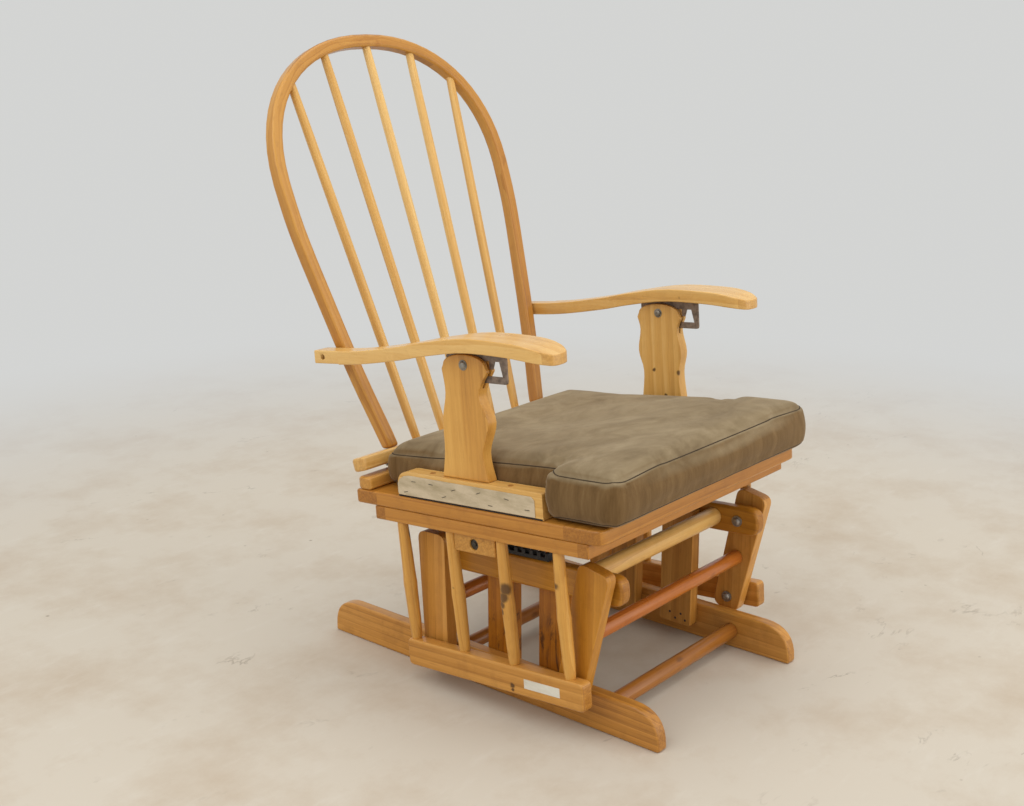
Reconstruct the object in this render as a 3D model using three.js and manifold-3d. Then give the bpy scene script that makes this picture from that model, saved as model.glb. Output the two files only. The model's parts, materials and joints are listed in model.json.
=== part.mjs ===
// A reclining glider nursery chair. A floor-standing base carries a seat frame on four swinging
// links, and a bow back hinges on the rear of the seat with the two armrests following it.
// Units are millimetres, +Z is up, the sitter faces -Y, and -X is the sitter's right.
import * as THREE from "three";
import { mergeVertices } from "three/addons/utils/BufferGeometryUtils.js";
import Module from "manifold-3d";

const wasm = await Module();
wasm.setup();

// ---------------------------------------------------------------- driving dimensions
const GAP = 0.3; // air left between touching pieces
const ORIGIN_Y = 53.62; // depth of the chair's middle, measured from the middle of the runners
const BOARD = 22; // thickness of the planed boards
const SIDES = [
  ["right", -1],
  ["left", 1],
];

// Floor-standing base
const RUNNER = { outerX: 200, halfLength: 338, height: 60, frontCurve: 55, rearCurve: 48 };
const POSTS = [
  { end: "front", y: -129, width: 62 },
  { end: "rear", y: -20, width: 52 },
];
const POST_FOOT_Z = 24;
const POST_TOP_Z = 232;
const FIXED_RAIL = { height: 46, slope: THREE.MathUtils.degToRad(3.5), front: 39, rear: 345, round: 20 };
const LOWER_STRETCHERS = [
  { end: "front", y: -228, z: 30, radius: 13 },
  { end: "rear", y: 78, z: 30, radius: 12 },
];
const UPPER_STRETCHER = { y: -186, z: 225, radius: 15 };

// Glide linkage: pivots on the base and on the seat's lower rail
const FRONT_UPPER_PIVOT = new THREE.Vector2(-231, 226);
const REAR_UPPER_PIVOT = new THREE.Vector2(76, 207.2);
const FRONT_LOWER_PIVOT = new THREE.Vector2(-199.7, 74.7);
const REAR_LOWER_PIVOT = new THREE.Vector2(69.3, 52.4);
const LINK = { innerX: 208, topHalf: 28, footHalf: 24, above: 42, below: 24, dowelRadius: 12 };
const PIVOT = { radius: 4, headRadius: 9, head: 7, clearance: 0.35, looseClearance: 2 };

// Seat frame, in its own frame, which leans back on the links
const SEAT_LEAN = THREE.MathUtils.degToRad(4.7);
const SEAT_TURN_Z = 345; // height about which the lean is given
const MOVING_RAIL = { innerX: 235, y0: -222, y1: 130, z0: 37, z1: 81 };
const SIDE_SPINDLES = { y: [-192, -86, 15, 118], lowX: 246, highX: 257 };
const LOWER_FRAME = { halfX: 268, y0: -255, y1: 166, z0: 278, z1: 300, side: 22, cross: 19 };
const TOP_FRAME = { halfX: 270, y0: -280, y1: 204, z1: 323, side: 62, front: 66, rear: 46 };
const WEBBING = { halfX: 236, y0: -262, y1: 165, width: 50, thick: 1.6 };
const CUSHION = { rearHalfX: 233, frontHalfX: 264, y0: -306, notchY: -184, y1: 167, thick: 70 };
const HINGE_BAR = { halfX: 270, y0: 171, y1: 200, height: 20 };
const ARM_BLOCK = { outerX: 268, thick: 28, y0: -178, y1: 110, height: 40 };
const ARM_POST = { outerX: 260, thick: 20, y: -38.5, shoulderZ: 529, shoulderHalf: 44.5 };
const POST_DOME = { z: 536, halfWidth: 41, rise: 17 };
const KERF = { width: 4.4, floorZ: 503 };
// Each post is shaped by hand: its edges' depths at the heights below the dome.
const POST_EDGES = {
  right: {
    heights: [405, 452, 493],
    rear: [19, 12, 11, 2],
    front: [-72, -64, -79, -64],
  },
  left: {
    heights: [388, 434, 470, 507],
    rear: [5, 1.5, -3, 6, 0.5],
    front: [-82, -79.5, -75.5, -82.5, -75.5],
  },
};
const LOCK_BLOCK = { outerX: 262, thick: 24, y0: -76, y1: 5, z0: 250, holeY: -34, holeZ: 264, holeR: 8.5 };

// Back, in the frame of its hinge axis
const BACK_LEAN = THREE.MathUtils.degToRad(19.66);
const HINGE = { y: 203.5, z: 345.8, barrel: 2.2, leaf: 1, halfX: 200, leafDepth: 24, knuckles: 5 };
const BACK_BAR = { halfX: 270, y0: -27, y1: 3, z0: 2.5, z1: 24.5 };
const HOOP = { depth: 22, thick: 21.5, rearY: 3, crownZ: 712, crownHalfX: 274, springZ: 473 };
const BACK_SPINDLES = { footX: [-127, -62, 0, 62, 127], headX: [-189, -101, 0, 101, 189], radius: 7.8 };

// Armrests, in the seat's frame
const ARM_THICK = 21;
const ARM_NOSE = { y0: -160, y1: -218, thinner: 6 };
const ARM_PIVOT = new THREE.Vector2(252, 532.6);
const ARM_TAIL = { outerX: 271, y0: 212, boreRadius: 4.6, boreFloorX: 256 };
const PLATE = { thick: 3, y0: -114.5, y1: 2, z0: 511.5, slotY0: -106, slotY1: -33, slotZ0: 522, slotZ1: 532 };
const NOTCH = { count: 4, pitch: 19.2, width: 9, slant: 4, topZ: 544, rearY: -38.5 };

// ---------------------------------------------------------------- materials
function wood(color, roughness = 0.45) {
  return new THREE.MeshStandardMaterial({ color, roughness, metalness: 0 });
}
const HONEY = "#d7a55f";
const AMBER = "#b9803f";
const RUSSET = "#b45f2d";

function metal(color) {
  return new THREE.MeshStandardMaterial({ color, roughness: 0.4, metalness: 0.85 });
}

// ---------------------------------------------------------------- shape helpers
function toSolid(geometry) {
  const plain = geometry.clone();
  plain.deleteAttribute("normal");
  plain.deleteAttribute("uv");
  const merged = mergeVertices(plain, 1e-4);
  const mesh = new wasm.Mesh({
    numProp: 3,
    vertProperties: new Float32Array(merged.attributes.position.array),
    triVerts: new Uint32Array(merged.index.array),
  });
  return new wasm.Manifold(mesh);
}

function toGeometry(solid) {
  const mesh = solid.getMesh();
  const geometry = new THREE.BufferGeometry();
  geometry.setAttribute("position", new THREE.BufferAttribute(mesh.vertProperties, 3));
  geometry.setIndex(new THREE.BufferAttribute(mesh.triVerts, 1));
  return geometry;
}

function addMesh(group, name, geometry, material) {
  const mesh = new THREE.Mesh(geometry, material);
  mesh.name = name;
  group.add(mesh);
  return mesh;
}

// A polygon whose corners [x, y, r] are eased over a length r on each side.
function easedShape(corners) {
  const shape = new THREE.Shape();
  corners.forEach(([x, y, ease = 0], i) => {
    const corner = new THREE.Vector2(x, y);
    const before = corners[(i + corners.length - 1) % corners.length];
    const after = corners[(i + 1) % corners.length];
    const start = new THREE.Vector2(before[0] - x, before[1] - y).setLength(ease).add(corner);
    const end = new THREE.Vector2(after[0] - x, after[1] - y).setLength(ease).add(corner);
    if (i === 0) shape.moveTo(start.x, start.y);
    else shape.lineTo(start.x, start.y);
    if (ease > 0) shape.quadraticCurveTo(x, y, end.x, end.y);
  });
  shape.closePath();
  return shape;
}

function extrude(shape, depth, curveSegments = 5) {
  return new THREE.ExtrudeGeometry(shape, { depth, bevelEnabled: false, curveSegments });
}

// A side outline in (y, z), given thickness from x0 to x1.
function sidePlate(shape, x0, x1, curveSegments) {
  const toSide = new THREE.Matrix4().set(0, 0, 1, x0, 1, 0, 0, 0, 0, 1, 0, 0, 0, 0, 0, 1);
  return extrude(shape, x1 - x0, curveSegments).applyMatrix4(toSide);
}

// A plan outline in (x, y), given height from z0 to z1.
function planPlate(shape, z0, z1, curveSegments) {
  return extrude(shape, z1 - z0, curveSegments).translate(0, 0, z0);
}

// A thickness given from its outer face, on either side of the chair.
function sideSpan(side, outerX, thick) {
  return side > 0 ? [outerX - thick, outerX] : [-outerX, thick - outerX];
}

function block(x0, x1, y0, y1, z0, z1) {
  return new THREE.BoxGeometry(x1 - x0, y1 - y0, z1 - z0).translate((x0 + x1) / 2, (y0 + y1) / 2, (z0 + z1) / 2);
}

// A solid turned about the X axis from [x, radius] steps, centred on (y, z).
function turnedAlongX(steps, y, z, segments = 16) {
  const profile = steps.map(([x, radius]) => new THREE.Vector2(radius, x));
  const turned = new THREE.LatheGeometry(profile, segments).rotateZ(-Math.PI / 2);
  return turned.translate(0, y, z);
}

function dowel(halfX, y, z, radius) {
  const ease = 1;
  const steps = [
    [-halfX, 0],
    [-halfX, radius - ease],
    [-halfX + ease, radius],
    [halfX - ease, radius],
    [halfX, radius - ease],
    [halfX, 0],
  ];
  return turnedAlongX(steps, y, z, 20);
}

// A turned stick between two points, with [share of length, radius] steps.
function turnedStick(from, to, steps, segments = 12) {
  const length = from.distanceTo(to);
  const profile = steps.map(([share, radius]) => new THREE.Vector2(radius, share * length));
  const closed = [new THREE.Vector2(0, 0), ...profile, new THREE.Vector2(0, length)];
  const direction = to.clone().sub(from).normalize();
  const turn = new THREE.Quaternion().setFromUnitVectors(new THREE.Vector3(0, 1, 0), direction);
  return new THREE.LatheGeometry(closed, segments).applyQuaternion(turn).translate(from.x, from.y, from.z);
}

const chair = new THREE.Group();
chair.position.y = -ORIGIN_Y;

// ---------------------------------------------------------------- base
const base = new THREE.Group();
chair.add(base);

function runnerGeometry(side) {
  const { halfLength, height, frontCurve, rearCurve } = RUNNER;
  const outline = easedShape([
    [-halfLength, 0, 5],
    [halfLength, 0, 5],
    [halfLength, height, rearCurve],
    [-halfLength, height, frontCurve],
  ]);
  return sidePlate(outline, ...sideSpan(side, RUNNER.outerX, BOARD), 8);
}

// A point on the fixed rail's sloping centre line, measured forward from the front pivot.
function alongFixedRail(forward, up) {
  const { slope } = FIXED_RAIL;
  const y = FRONT_UPPER_PIVOT.x - forward * Math.cos(slope) + up * Math.sin(slope);
  const z = FRONT_UPPER_PIVOT.y + forward * Math.sin(slope) + up * Math.cos(slope);
  return [y, z];
}

function fixedRailGeometry(side) {
  const half = FIXED_RAIL.height / 2;
  const corners = [
    [FIXED_RAIL.front, -half],
    [-FIXED_RAIL.rear, -half],
    [-FIXED_RAIL.rear, half],
    [FIXED_RAIL.front, half],
  ];
  const outline = easedShape(corners.map((corner) => [...alongFixedRail(...corner), FIXED_RAIL.round]));
  let rail = toSolid(sidePlate(outline, ...sideSpan(side, RUNNER.outerX, BOARD), 6));
  for (const pivot of [FRONT_UPPER_PIVOT, REAR_UPPER_PIVOT]) rail = rail.subtract(pivotHole(pivot, 170, 208, side));
  return toGeometry(rail);
}

function pivotHole(pivot, x0, x1, side, clearance = PIVOT.clearance) {
  const radius = PIVOT.radius + clearance;
  const steps = [
    [side * x0, 0],
    [side * x0, radius],
    [side * x1, radius],
    [side * x1, 0],
  ];
  const ordered = side > 0 ? steps : steps.reverse();
  return toSolid(turnedAlongX(ordered, pivot.x, pivot.y));
}

// A bolt with its head at the inner end, a spacer collar and a blind outer end.
function pivotBolt(pivot, side, x) {
  const steps = [
    [x.head, 0],
    [x.head, PIVOT.headRadius - 1.5],
    [x.head + 1.5, PIVOT.headRadius],
    [x.head + PIVOT.head, PIVOT.headRadius],
    [x.head + PIVOT.head, PIVOT.radius],
    [x.collar0, PIVOT.radius],
    [x.collar0, PIVOT.headRadius + 2],
    [x.collar1, PIVOT.headRadius + 2],
    [x.collar1, PIVOT.radius],
    [x.end, PIVOT.radius],
    [x.end, 0],
  ];
  const placed = steps.map(([along, radius]) => [side * along, radius]);
  return turnedAlongX(side > 0 ? placed : placed.reverse(), pivot.x, pivot.y);
}

for (const [name, side] of SIDES) {
  addMesh(base, `floor_runner_${name}`, runnerGeometry(side), wood(AMBER));
  addMesh(base, `fixed_rail_${name}`, fixedRailGeometry(side), wood(AMBER));
  for (const post of POSTS) {
    const [x0, x1] = sideSpan(side, RUNNER.outerX - BOARD - GAP, BOARD);
    const outline = easedShape([
      [post.y - post.width / 2, POST_FOOT_Z, 2],
      [post.y + post.width / 2, POST_FOOT_Z, 2],
      [post.y + post.width / 2, POST_TOP_Z, 2],
      [post.y - post.width / 2, POST_TOP_Z, 2],
    ]);
    addMesh(base, `base_post_${post.end}_${name}`, sidePlate(outline, x0, x1, 1), wood(AMBER));
  }
  for (const [end, pivot] of [
    ["front", FRONT_UPPER_PIVOT],
    ["rear", REAR_UPPER_PIVOT],
  ]) {
    const x = { head: 170.7, collar0: 200.3, collar1: 207.7, end: 224 };
    addMesh(base, `upper_pivot_bolt_${end}_${name}`, pivotBolt(pivot, side, x), metal("#6d6a66"));
  }
}

const STRETCHER_HALF_X = RUNNER.outerX - BOARD - GAP;
for (const { end, y, z, radius } of LOWER_STRETCHERS) {
  addMesh(base, `lower_stretcher_${end}`, dowel(STRETCHER_HALF_X, y, z, radius), wood(RUSSET));
}
const upperStretcher = dowel(STRETCHER_HALF_X, UPPER_STRETCHER.y, UPPER_STRETCHER.z, UPPER_STRETCHER.radius);
addMesh(base, "upper_stretcher_front", upperStretcher, wood(AMBER));

// The toothed strip of the glide lock stands on the sitter's-right fixed rail.
function lockRackGeometry() {
  const teeth = 5;
  const pitch = 15;
  const rackRear = -177;
  const bottom = FIXED_RAIL.height / 2 + GAP;
  const corners = [alongFixedRail(rackRear, bottom)];
  corners.push(alongFixedRail(rackRear + teeth * pitch + 5, bottom));
  for (let i = teeth; i > 0; i--) {
    const forward = rackRear + i * pitch;
    corners.push(alongFixedRail(forward + 5, bottom + 13));
    corners.push(alongFixedRail(forward - 2, bottom + 13));
    corners.push(alongFixedRail(forward - 2, bottom + 6));
    corners.push(alongFixedRail(forward - 10, bottom + 6));
  }
  corners.push(alongFixedRail(rackRear, bottom + 13));
  const shape = easedShape(corners.reverse());
  return sidePlate(shape, ...sideSpan(-1, RUNNER.outerX - 2, 14), 1);
}
addMesh(base, "glide_lock_rack", lockRackGeometry(), wood("#1b1a19", 0.6));

// ---------------------------------------------------------------- swinging links
function linkGeometry(upper, lower, side, lowerClearance) {
  const up = upper.clone().sub(lower).normalize();
  const back = new THREE.Vector2(up.y, -up.x);
  const reach = upper.distanceTo(lower);
  const place = ([across, along, ease]) => {
    const point = upper.clone().addScaledVector(back, across).addScaledVector(up, along);
    return [point.x, point.y, ease];
  };
  const outline = easedShape(
    [
      [-LINK.footHalf, -reach - LINK.below, 17],
      [LINK.footHalf, -reach - LINK.below, 17],
      [LINK.topHalf, LINK.above, 15],
      [-LINK.topHalf, LINK.above, 15],
    ].map(place),
  );
  let link = toSolid(sidePlate(outline, ...sideSpan(side, LINK.innerX + BOARD, BOARD), 5));
  link = link.subtract(pivotHole(upper, LINK.innerX - 5, 224.6, side));
  link = link.subtract(pivotHole(lower, LINK.innerX - 5, LINK.innerX + BOARD + 5, side, lowerClearance));
  return toGeometry(link);
}

for (const { end, upper, lower, clearance, dowelColor } of [
  {
    end: "front",
    upper: FRONT_UPPER_PIVOT,
    lower: FRONT_LOWER_PIVOT,
    clearance: PIVOT.clearance,
    dowelColor: RUSSET,
  },
  {
    end: "rear",
    upper: REAR_UPPER_PIVOT,
    lower: REAR_LOWER_PIVOT,
    clearance: PIVOT.looseClearance,
    dowelColor: RUSSET,
  },
]) {
  const links = new THREE.Group();
  chair.add(links);
  for (const [name, side] of SIDES) {
    addMesh(links, `${end}_link_${name}`, linkGeometry(upper, lower, side, clearance), wood(AMBER));
  }
  const middle = upper.clone().add(lower).multiplyScalar(0.5);
  const rod = dowel(LINK.innerX - GAP, middle.x, middle.y, LINK.dowelRadius);
  addMesh(links, `${end}_link_dowel`, rod, wood(dowelColor));
}

// ---------------------------------------------------------------- seat frame
// The seat's own frame leans back about a line at SEAT_TURN_Z.
const seat = new THREE.Group();
seat.position.z = SEAT_TURN_Z;
seat.rotation.x = -SEAT_LEAN;
chair.add(seat);
const seatFrame = new THREE.Group();
seatFrame.position.z = -SEAT_TURN_Z;
seat.add(seatFrame);

function toSeat(point) {
  const turned = new THREE.Vector2(point.x, point.y - SEAT_TURN_Z).rotateAround(new THREE.Vector2(), SEAT_LEAN);
  return new THREE.Vector2(turned.x, turned.y + SEAT_TURN_Z);
}

const LOWER_PIVOTS = [
  ["front", toSeat(FRONT_LOWER_PIVOT)],
  ["rear", toSeat(REAR_LOWER_PIVOT)],
];
const SPINDLE_STEPS = [
  [0, 8.2],
  [0.12, 9.6],
  [0.4, 10.4],
  [0.46, 10.9],
  [0.52, 10.2],
  [0.8, 9.2],
  [1, 8],
];

for (const [name, side] of SIDES) {
  const { innerX, y0, y1, z0, z1 } = MOVING_RAIL;
  const outline = easedShape([
    [y0, z0, 8],
    [y1, z0, 8],
    [y1, z1, 8],
    [y0, z1, 8],
  ]);
  let rail = toSolid(sidePlate(outline, ...sideSpan(side, innerX + BOARD, BOARD), 3));
  for (const [end, pivot] of LOWER_PIVOTS) {
    rail = rail.subtract(pivotHole(pivot, innerX - 5, 250.6, side));
    const x = { head: 200.4, collar0: 230.4, collar1: 234.6, end: 250 };
    addMesh(seatFrame, `lower_pivot_bolt_${end}_${name}`, pivotBolt(pivot, side, x), metal("#6d6a66"));
  }
  addMesh(seatFrame, `glide_rail_${name}`, toGeometry(rail), wood(HONEY));
  SIDE_SPINDLES.y.forEach((y, i) => {
    const foot = new THREE.Vector3(side * SIDE_SPINDLES.lowX, y, z1 + 1);
    const head = new THREE.Vector3(side * SIDE_SPINDLES.highX, y, LOWER_FRAME.z0 - 1);
    const stick = turnedStick(foot, head, SPINDLE_STEPS);
    addMesh(seatFrame, `side_spindle_${i + 1}_${name}`, stick, wood(HONEY));
  });
}

function ringPlate(outer, inner, z0, z1) {
  const shape = easedShape(outer);
  shape.holes.push(new THREE.Path(easedShape(inner).getPoints(4)));
  return planPlate(shape, z0, z1, 4);
}

function rectangle(halfX, y0, y1, frontEase = 0, rearEase = 0) {
  return [
    [-halfX, y0, frontEase],
    [halfX, y0, frontEase],
    [halfX, y1, rearEase],
    [-halfX, y1, rearEase],
  ];
}

const lowerFrame = ringPlate(
  rectangle(LOWER_FRAME.halfX, LOWER_FRAME.y0, LOWER_FRAME.y1),
  rectangle(LOWER_FRAME.halfX - LOWER_FRAME.side, LOWER_FRAME.y0 + LOWER_FRAME.cross, LOWER_FRAME.y1 - LOWER_FRAME.side),
  LOWER_FRAME.z0,
  LOWER_FRAME.z1,
);
addMesh(seatFrame, "seat_lower_frame", lowerFrame, wood(HONEY));

const topFrame = ringPlate(
  rectangle(TOP_FRAME.halfX, TOP_FRAME.y0, TOP_FRAME.y1, 16, 5),
  rectangle(TOP_FRAME.halfX - TOP_FRAME.side, TOP_FRAME.y0 + TOP_FRAME.front, TOP_FRAME.y1 - TOP_FRAME.rear),
  LOWER_FRAME.z1 + GAP,
  TOP_FRAME.z1,
);
addMesh(seatFrame, "seat_top_frame", topFrame, wood(HONEY));

// Woven webbing straps, joined where they cross, carry the cushion over the open frame.
function webbingGeometry() {
  const { halfX, y0, y1, width, thick } = WEBBING;
  const z0 = TOP_FRAME.z1 + GAP;
  let mat = null;
  for (const step of [-1, 0, 1]) {
    const x = step * 0.62 * halfX;
    const y = (y0 + y1) / 2 + step * 0.31 * (y1 - y0);
    const along = toSolid(block(x - width / 2, x + width / 2, y0, y1, z0, z0 + thick));
    const across = toSolid(block(-halfX, halfX, y - width / 2, y + width / 2, z0, z0 + thick));
    mat = mat ? mat.add(along).add(across) : along.add(across);
  }
  return toGeometry(mat);
}
addMesh(seatFrame, "seat_webbing", webbingGeometry(), wood("#3a3a3c", 0.9));

const seatTopZ = TOP_FRAME.z1 + 2 * GAP + WEBBING.thick;
const { rearHalfX, frontHalfX, notchY } = CUSHION;
const cushionPlan = easedShape([
  [-frontHalfX, CUSHION.y0, 20],
  [frontHalfX, CUSHION.y0, 20],
  [frontHalfX, notchY, 12],
  [rearHalfX, notchY, 6],
  [rearHalfX, CUSHION.y1, 16],
  [-rearHalfX, CUSHION.y1, 16],
  [-rearHalfX, notchY, 6],
  [-frontHalfX, notchY, 12],
]);
addMesh(
  seatFrame,
  "seat_cushion",
  planPlate(cushionPlan, seatTopZ, seatTopZ + CUSHION.thick, 4),
  new THREE.MeshStandardMaterial({ color: "#7a6f55", roughness: 0.95 }),
);

const hingeBarZ = TOP_FRAME.z1 + GAP;
const hingeBarPlan = easedShape(rectangle(HINGE_BAR.halfX, HINGE_BAR.y0, HINGE_BAR.y1, 7, 11));
const hingeBar = planPlate(hingeBarPlan, hingeBarZ, hingeBarZ + HINGE_BAR.height, 4);
addMesh(seatFrame, "seat_hinge_bar", hingeBar, wood(HONEY));

function armBlockGeometry(side) {
  const z0 = TOP_FRAME.z1 + GAP;
  const outline = easedShape([
    [ARM_BLOCK.y0, z0, 1],
    [ARM_BLOCK.y1, z0, 3],
    [ARM_BLOCK.y1, z0 + ARM_BLOCK.height, 24],
    [ARM_BLOCK.y0, z0 + ARM_BLOCK.height, 4],
  ]);
  return sidePlate(outline, ...sideSpan(side, ARM_BLOCK.outerX, ARM_BLOCK.thick), 6);
}

// The post rises in waves to a domed top, which a kerf splits for the recline plate.
function armPostGeometry(name, side) {
  const { heights, rear, front } = POST_EDGES[name];
  const levels = [TOP_FRAME.z1 + 2 * GAP + ARM_BLOCK.height, ...heights, ARM_POST.shoulderZ];
  const waved = (depths) => {
    return new THREE.SplineCurve(depths.map((y, i) => new THREE.Vector2(y, levels[i]))).getPoints(20);
  };
  const dome = new THREE.EllipseCurve(ARM_POST.y, POST_DOME.z, POST_DOME.halfWidth, POST_DOME.rise, 0, Math.PI);
  const rearEdge = waved([...rear, ARM_POST.y + ARM_POST.shoulderHalf]);
  const frontEdge = waved([...front, ARM_POST.y - ARM_POST.shoulderHalf]).reverse();
  const outline = new THREE.Shape([...rearEdge, ...dome.getPoints(14), ...frontEdge]);
  const [x0, x1] = sideSpan(side, ARM_POST.outerX, ARM_POST.thick);
  const middle = (x0 + x1) / 2;
  const top = POST_DOME.z + POST_DOME.rise + 5;
  const kerfReach = POST_DOME.halfWidth + 20;
  const kerf = toSolid(
    block(
      middle - KERF.width / 2,
      middle + KERF.width / 2,
      ARM_POST.y - kerfReach,
      ARM_POST.y + kerfReach,
      KERF.floorZ,
      top,
    ),
  );
  return toGeometry(toSolid(sidePlate(outline, x0, x1)).subtract(kerf));
}

for (const [name, side] of SIDES) {
  addMesh(seatFrame, `arm_block_${name}`, armBlockGeometry(side), wood(HONEY));
  addMesh(seatFrame, `arm_post_${name}`, armPostGeometry(name, side), wood(HONEY));
}

// The small block that holds the glide lock's pivot hangs under the sitter's-right side rail.
function lockBlockGeometry() {
  const { outerX, thick, y0, y1, z0, holeY, holeZ, holeR } = LOCK_BLOCK;
  const z1 = LOWER_FRAME.z0 - GAP;
  const [x0, x1] = sideSpan(-1, outerX, thick);
  const hole = [
    [x0 - 1, 0],
    [x0 - 1, holeR],
    [x1 + 1, holeR],
    [x1 + 1, 0],
  ];
  const body = toSolid(block(x0, x1, y0, y1, z0, z1));
  return toGeometry(body.subtract(toSolid(turnedAlongX(hole, holeY, holeZ, 20))));
}
addMesh(seatFrame, "glide_lock_block", lockBlockGeometry(), wood(HONEY));

// ---------------------------------------------------------------- back hinge
// Knuckles alternate along one barrel: the lower leaf holds the pin, the upper leaf turns on it.
function hingeLeafGeometry(first, bored, plateZ0) {
  const { halfX, knuckles, barrel, leaf, leafDepth } = HINGE;
  const pinR = 1.1;
  const pitch = (2 * halfX) / knuckles;
  let body = toSolid(block(-halfX, halfX, -leafDepth, -0.4, plateZ0, plateZ0 + leaf));
  for (let i = 0; i < knuckles; i++) {
    const x0 = -halfX + i * pitch + GAP / 2;
    const x1 = x0 + pitch - GAP;
    const ring = [
      [x0, 0],
      [x0, barrel],
      [x1, barrel],
      [x1, 0],
    ];
    const knuckle = toSolid(turnedAlongX(ring, 0, 0, 12));
    if (i % 2 === first) {
      body = body.add(knuckle);
    } else {
      const room = [
        [x0 - GAP, 0],
        [x0 - GAP, barrel + 0.5],
        [x1 + GAP, barrel + 0.5],
        [x1 + GAP, 0],
      ];
      body = body.subtract(toSolid(turnedAlongX(room, 0, 0, 12)));
    }
  }
  const pinSteps = (radius, reach) => [
    [-halfX - reach, 0],
    [-halfX - reach, radius],
    [halfX + reach, radius],
    [halfX + reach, 0],
  ];
  if (bored) return toGeometry(body.subtract(toSolid(turnedAlongX(pinSteps(pinR + 0.2, 2), 0, 0, 12))));
  return toGeometry(body.add(toSolid(turnedAlongX(pinSteps(pinR, -1), 0, 0, 12))));
}

const lowerHinge = new THREE.Group();
lowerHinge.position.set(0, HINGE.y, HINGE.z);
seatFrame.add(lowerHinge);
const lowerLeaf = hingeLeafGeometry(0, false, -HINGE.barrel);
addMesh(lowerHinge, "back_hinge_lower_leaf", lowerLeaf, metal("#8b8478"));

// ---------------------------------------------------------------- back
const back = new THREE.Group();
back.position.set(0, HINGE.y, HINGE.z);
back.rotation.x = -(BACK_LEAN - SEAT_LEAN);
seatFrame.add(back);

const upperLeaf = hingeLeafGeometry(1, true, HINGE.barrel - HINGE.leaf);
addMesh(back, "back_hinge_upper_leaf", upperLeaf, metal("#8b8478"));
const backBarPlan = easedShape(rectangle(BACK_BAR.halfX, BACK_BAR.y0, BACK_BAR.y1, 7, 11));
addMesh(back, "back_bar", planPlate(backBarPlan, BACK_BAR.z0, BACK_BAR.z1, 4), wood(HONEY));

// The bow's outer line: gently curved legs, then a full, slightly squared arch.
function bowLine() {
  const footZ = BACK_BAR.z1 + GAP;
  const leg = new THREE.SplineCurve([
    new THREE.Vector2(198, footZ),
    new THREE.Vector2(227, 147),
    new THREE.Vector2(252, 282),
    new THREE.Vector2(269.5, 395),
    new THREE.Vector2(HOOP.crownHalfX, HOOP.springZ),
  ]).getPoints(16);
  const fullness = 2 / 2.2;
  const rise = HOOP.crownZ - HOOP.springZ;
  const arch = [];
  for (let i = 1; i < 16; i++) {
    const angle = (i / 16) * (Math.PI / 2);
    const x = HOOP.crownHalfX * Math.cos(angle) ** fullness;
    arch.push(new THREE.Vector2(x, HOOP.springZ + rise * Math.sin(angle) ** fullness));
  }
  const half = [...leg, ...arch, new THREE.Vector2(0, HOOP.crownZ)];
  const mirrored = half.slice(0, -1).reverse();
  return [...half, ...mirrored.map((point) => new THREE.Vector2(-point.x, point.y))];
}

function bowGeometry(thick, depth, y0) {
  const outer = bowLine();
  const inner = outer.map((point, i) => {
    const before = outer[Math.max(i - 1, 0)];
    const after = outer[Math.min(i + 1, outer.length - 1)];
    const run = after.clone().sub(before).normalize();
    return new THREE.Vector2(point.x - run.y * thick, point.y + run.x * thick);
  });
  const footZ = outer[0].y;
  inner[0].y = footZ;
  inner[inner.length - 1].y = footZ;
  const shape = new THREE.Shape([...outer, ...inner.reverse()]);
  return extrude(shape, depth).rotateX(Math.PI / 2).translate(0, y0 + depth, 0);
}
addMesh(back, "back_bow", bowGeometry(HOOP.thick, HOOP.depth, HOOP.rearY - HOOP.depth), wood(HONEY));

// Each back spindle is trimmed to the bow's inner face.
const bowCutter = toSolid(bowGeometry(HOOP.thick + GAP, HOOP.depth + 20, HOOP.rearY - HOOP.depth - 10));
const bowMiddleY = HOOP.rearY - HOOP.depth / 2;
BACK_SPINDLES.footX.forEach((footX, i) => {
  const headX = BACK_SPINDLES.headX[i];
  const share = Math.abs(headX) / HOOP.crownHalfX;
  const rise = HOOP.crownZ - HOOP.springZ;
  const headZ = HOOP.springZ + rise * (1 - share ** 2.2) ** (1 / 2.2) - HOOP.thick * 0.7;
  const foot = new THREE.Vector3(footX, bowMiddleY, BACK_BAR.z1 + 2);
  const head = new THREE.Vector3(headX, bowMiddleY, headZ);
  const { radius } = BACK_SPINDLES;
  const steps = [
    [0, radius - 1],
    [0.1, radius],
    [0.6, radius + 0.4],
    [1, radius - 1],
  ];
  const trimmed = toSolid(turnedStick(foot, head, steps)).subtract(bowCutter);
  addMesh(back, `back_spindle_${i + 1}`, toGeometry(trimmed), wood(HONEY));
});

// ---------------------------------------------------------------- armrests
const ARM_UNDERSIDE = new THREE.SplineCurve(
  [
    [-228, 547],
    [-190, 554],
    [-140, 559],
    [-60, 560],
    [20, 549.5],
    [72, 540],
    [150, 529],
    [205, 524],
    [280, 521],
  ].map(([y, z]) => new THREE.Vector2(y, z)),
);

function underArm(y) {
  let low = 0;
  let high = 1;
  for (let i = 0; i < 30; i++) {
    const middle = (low + high) / 2;
    if (ARM_UNDERSIDE.getPoint(middle).x < y) low = middle;
    else high = middle;
  }
  return ARM_UNDERSIDE.getPoint(low).y;
}

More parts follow.
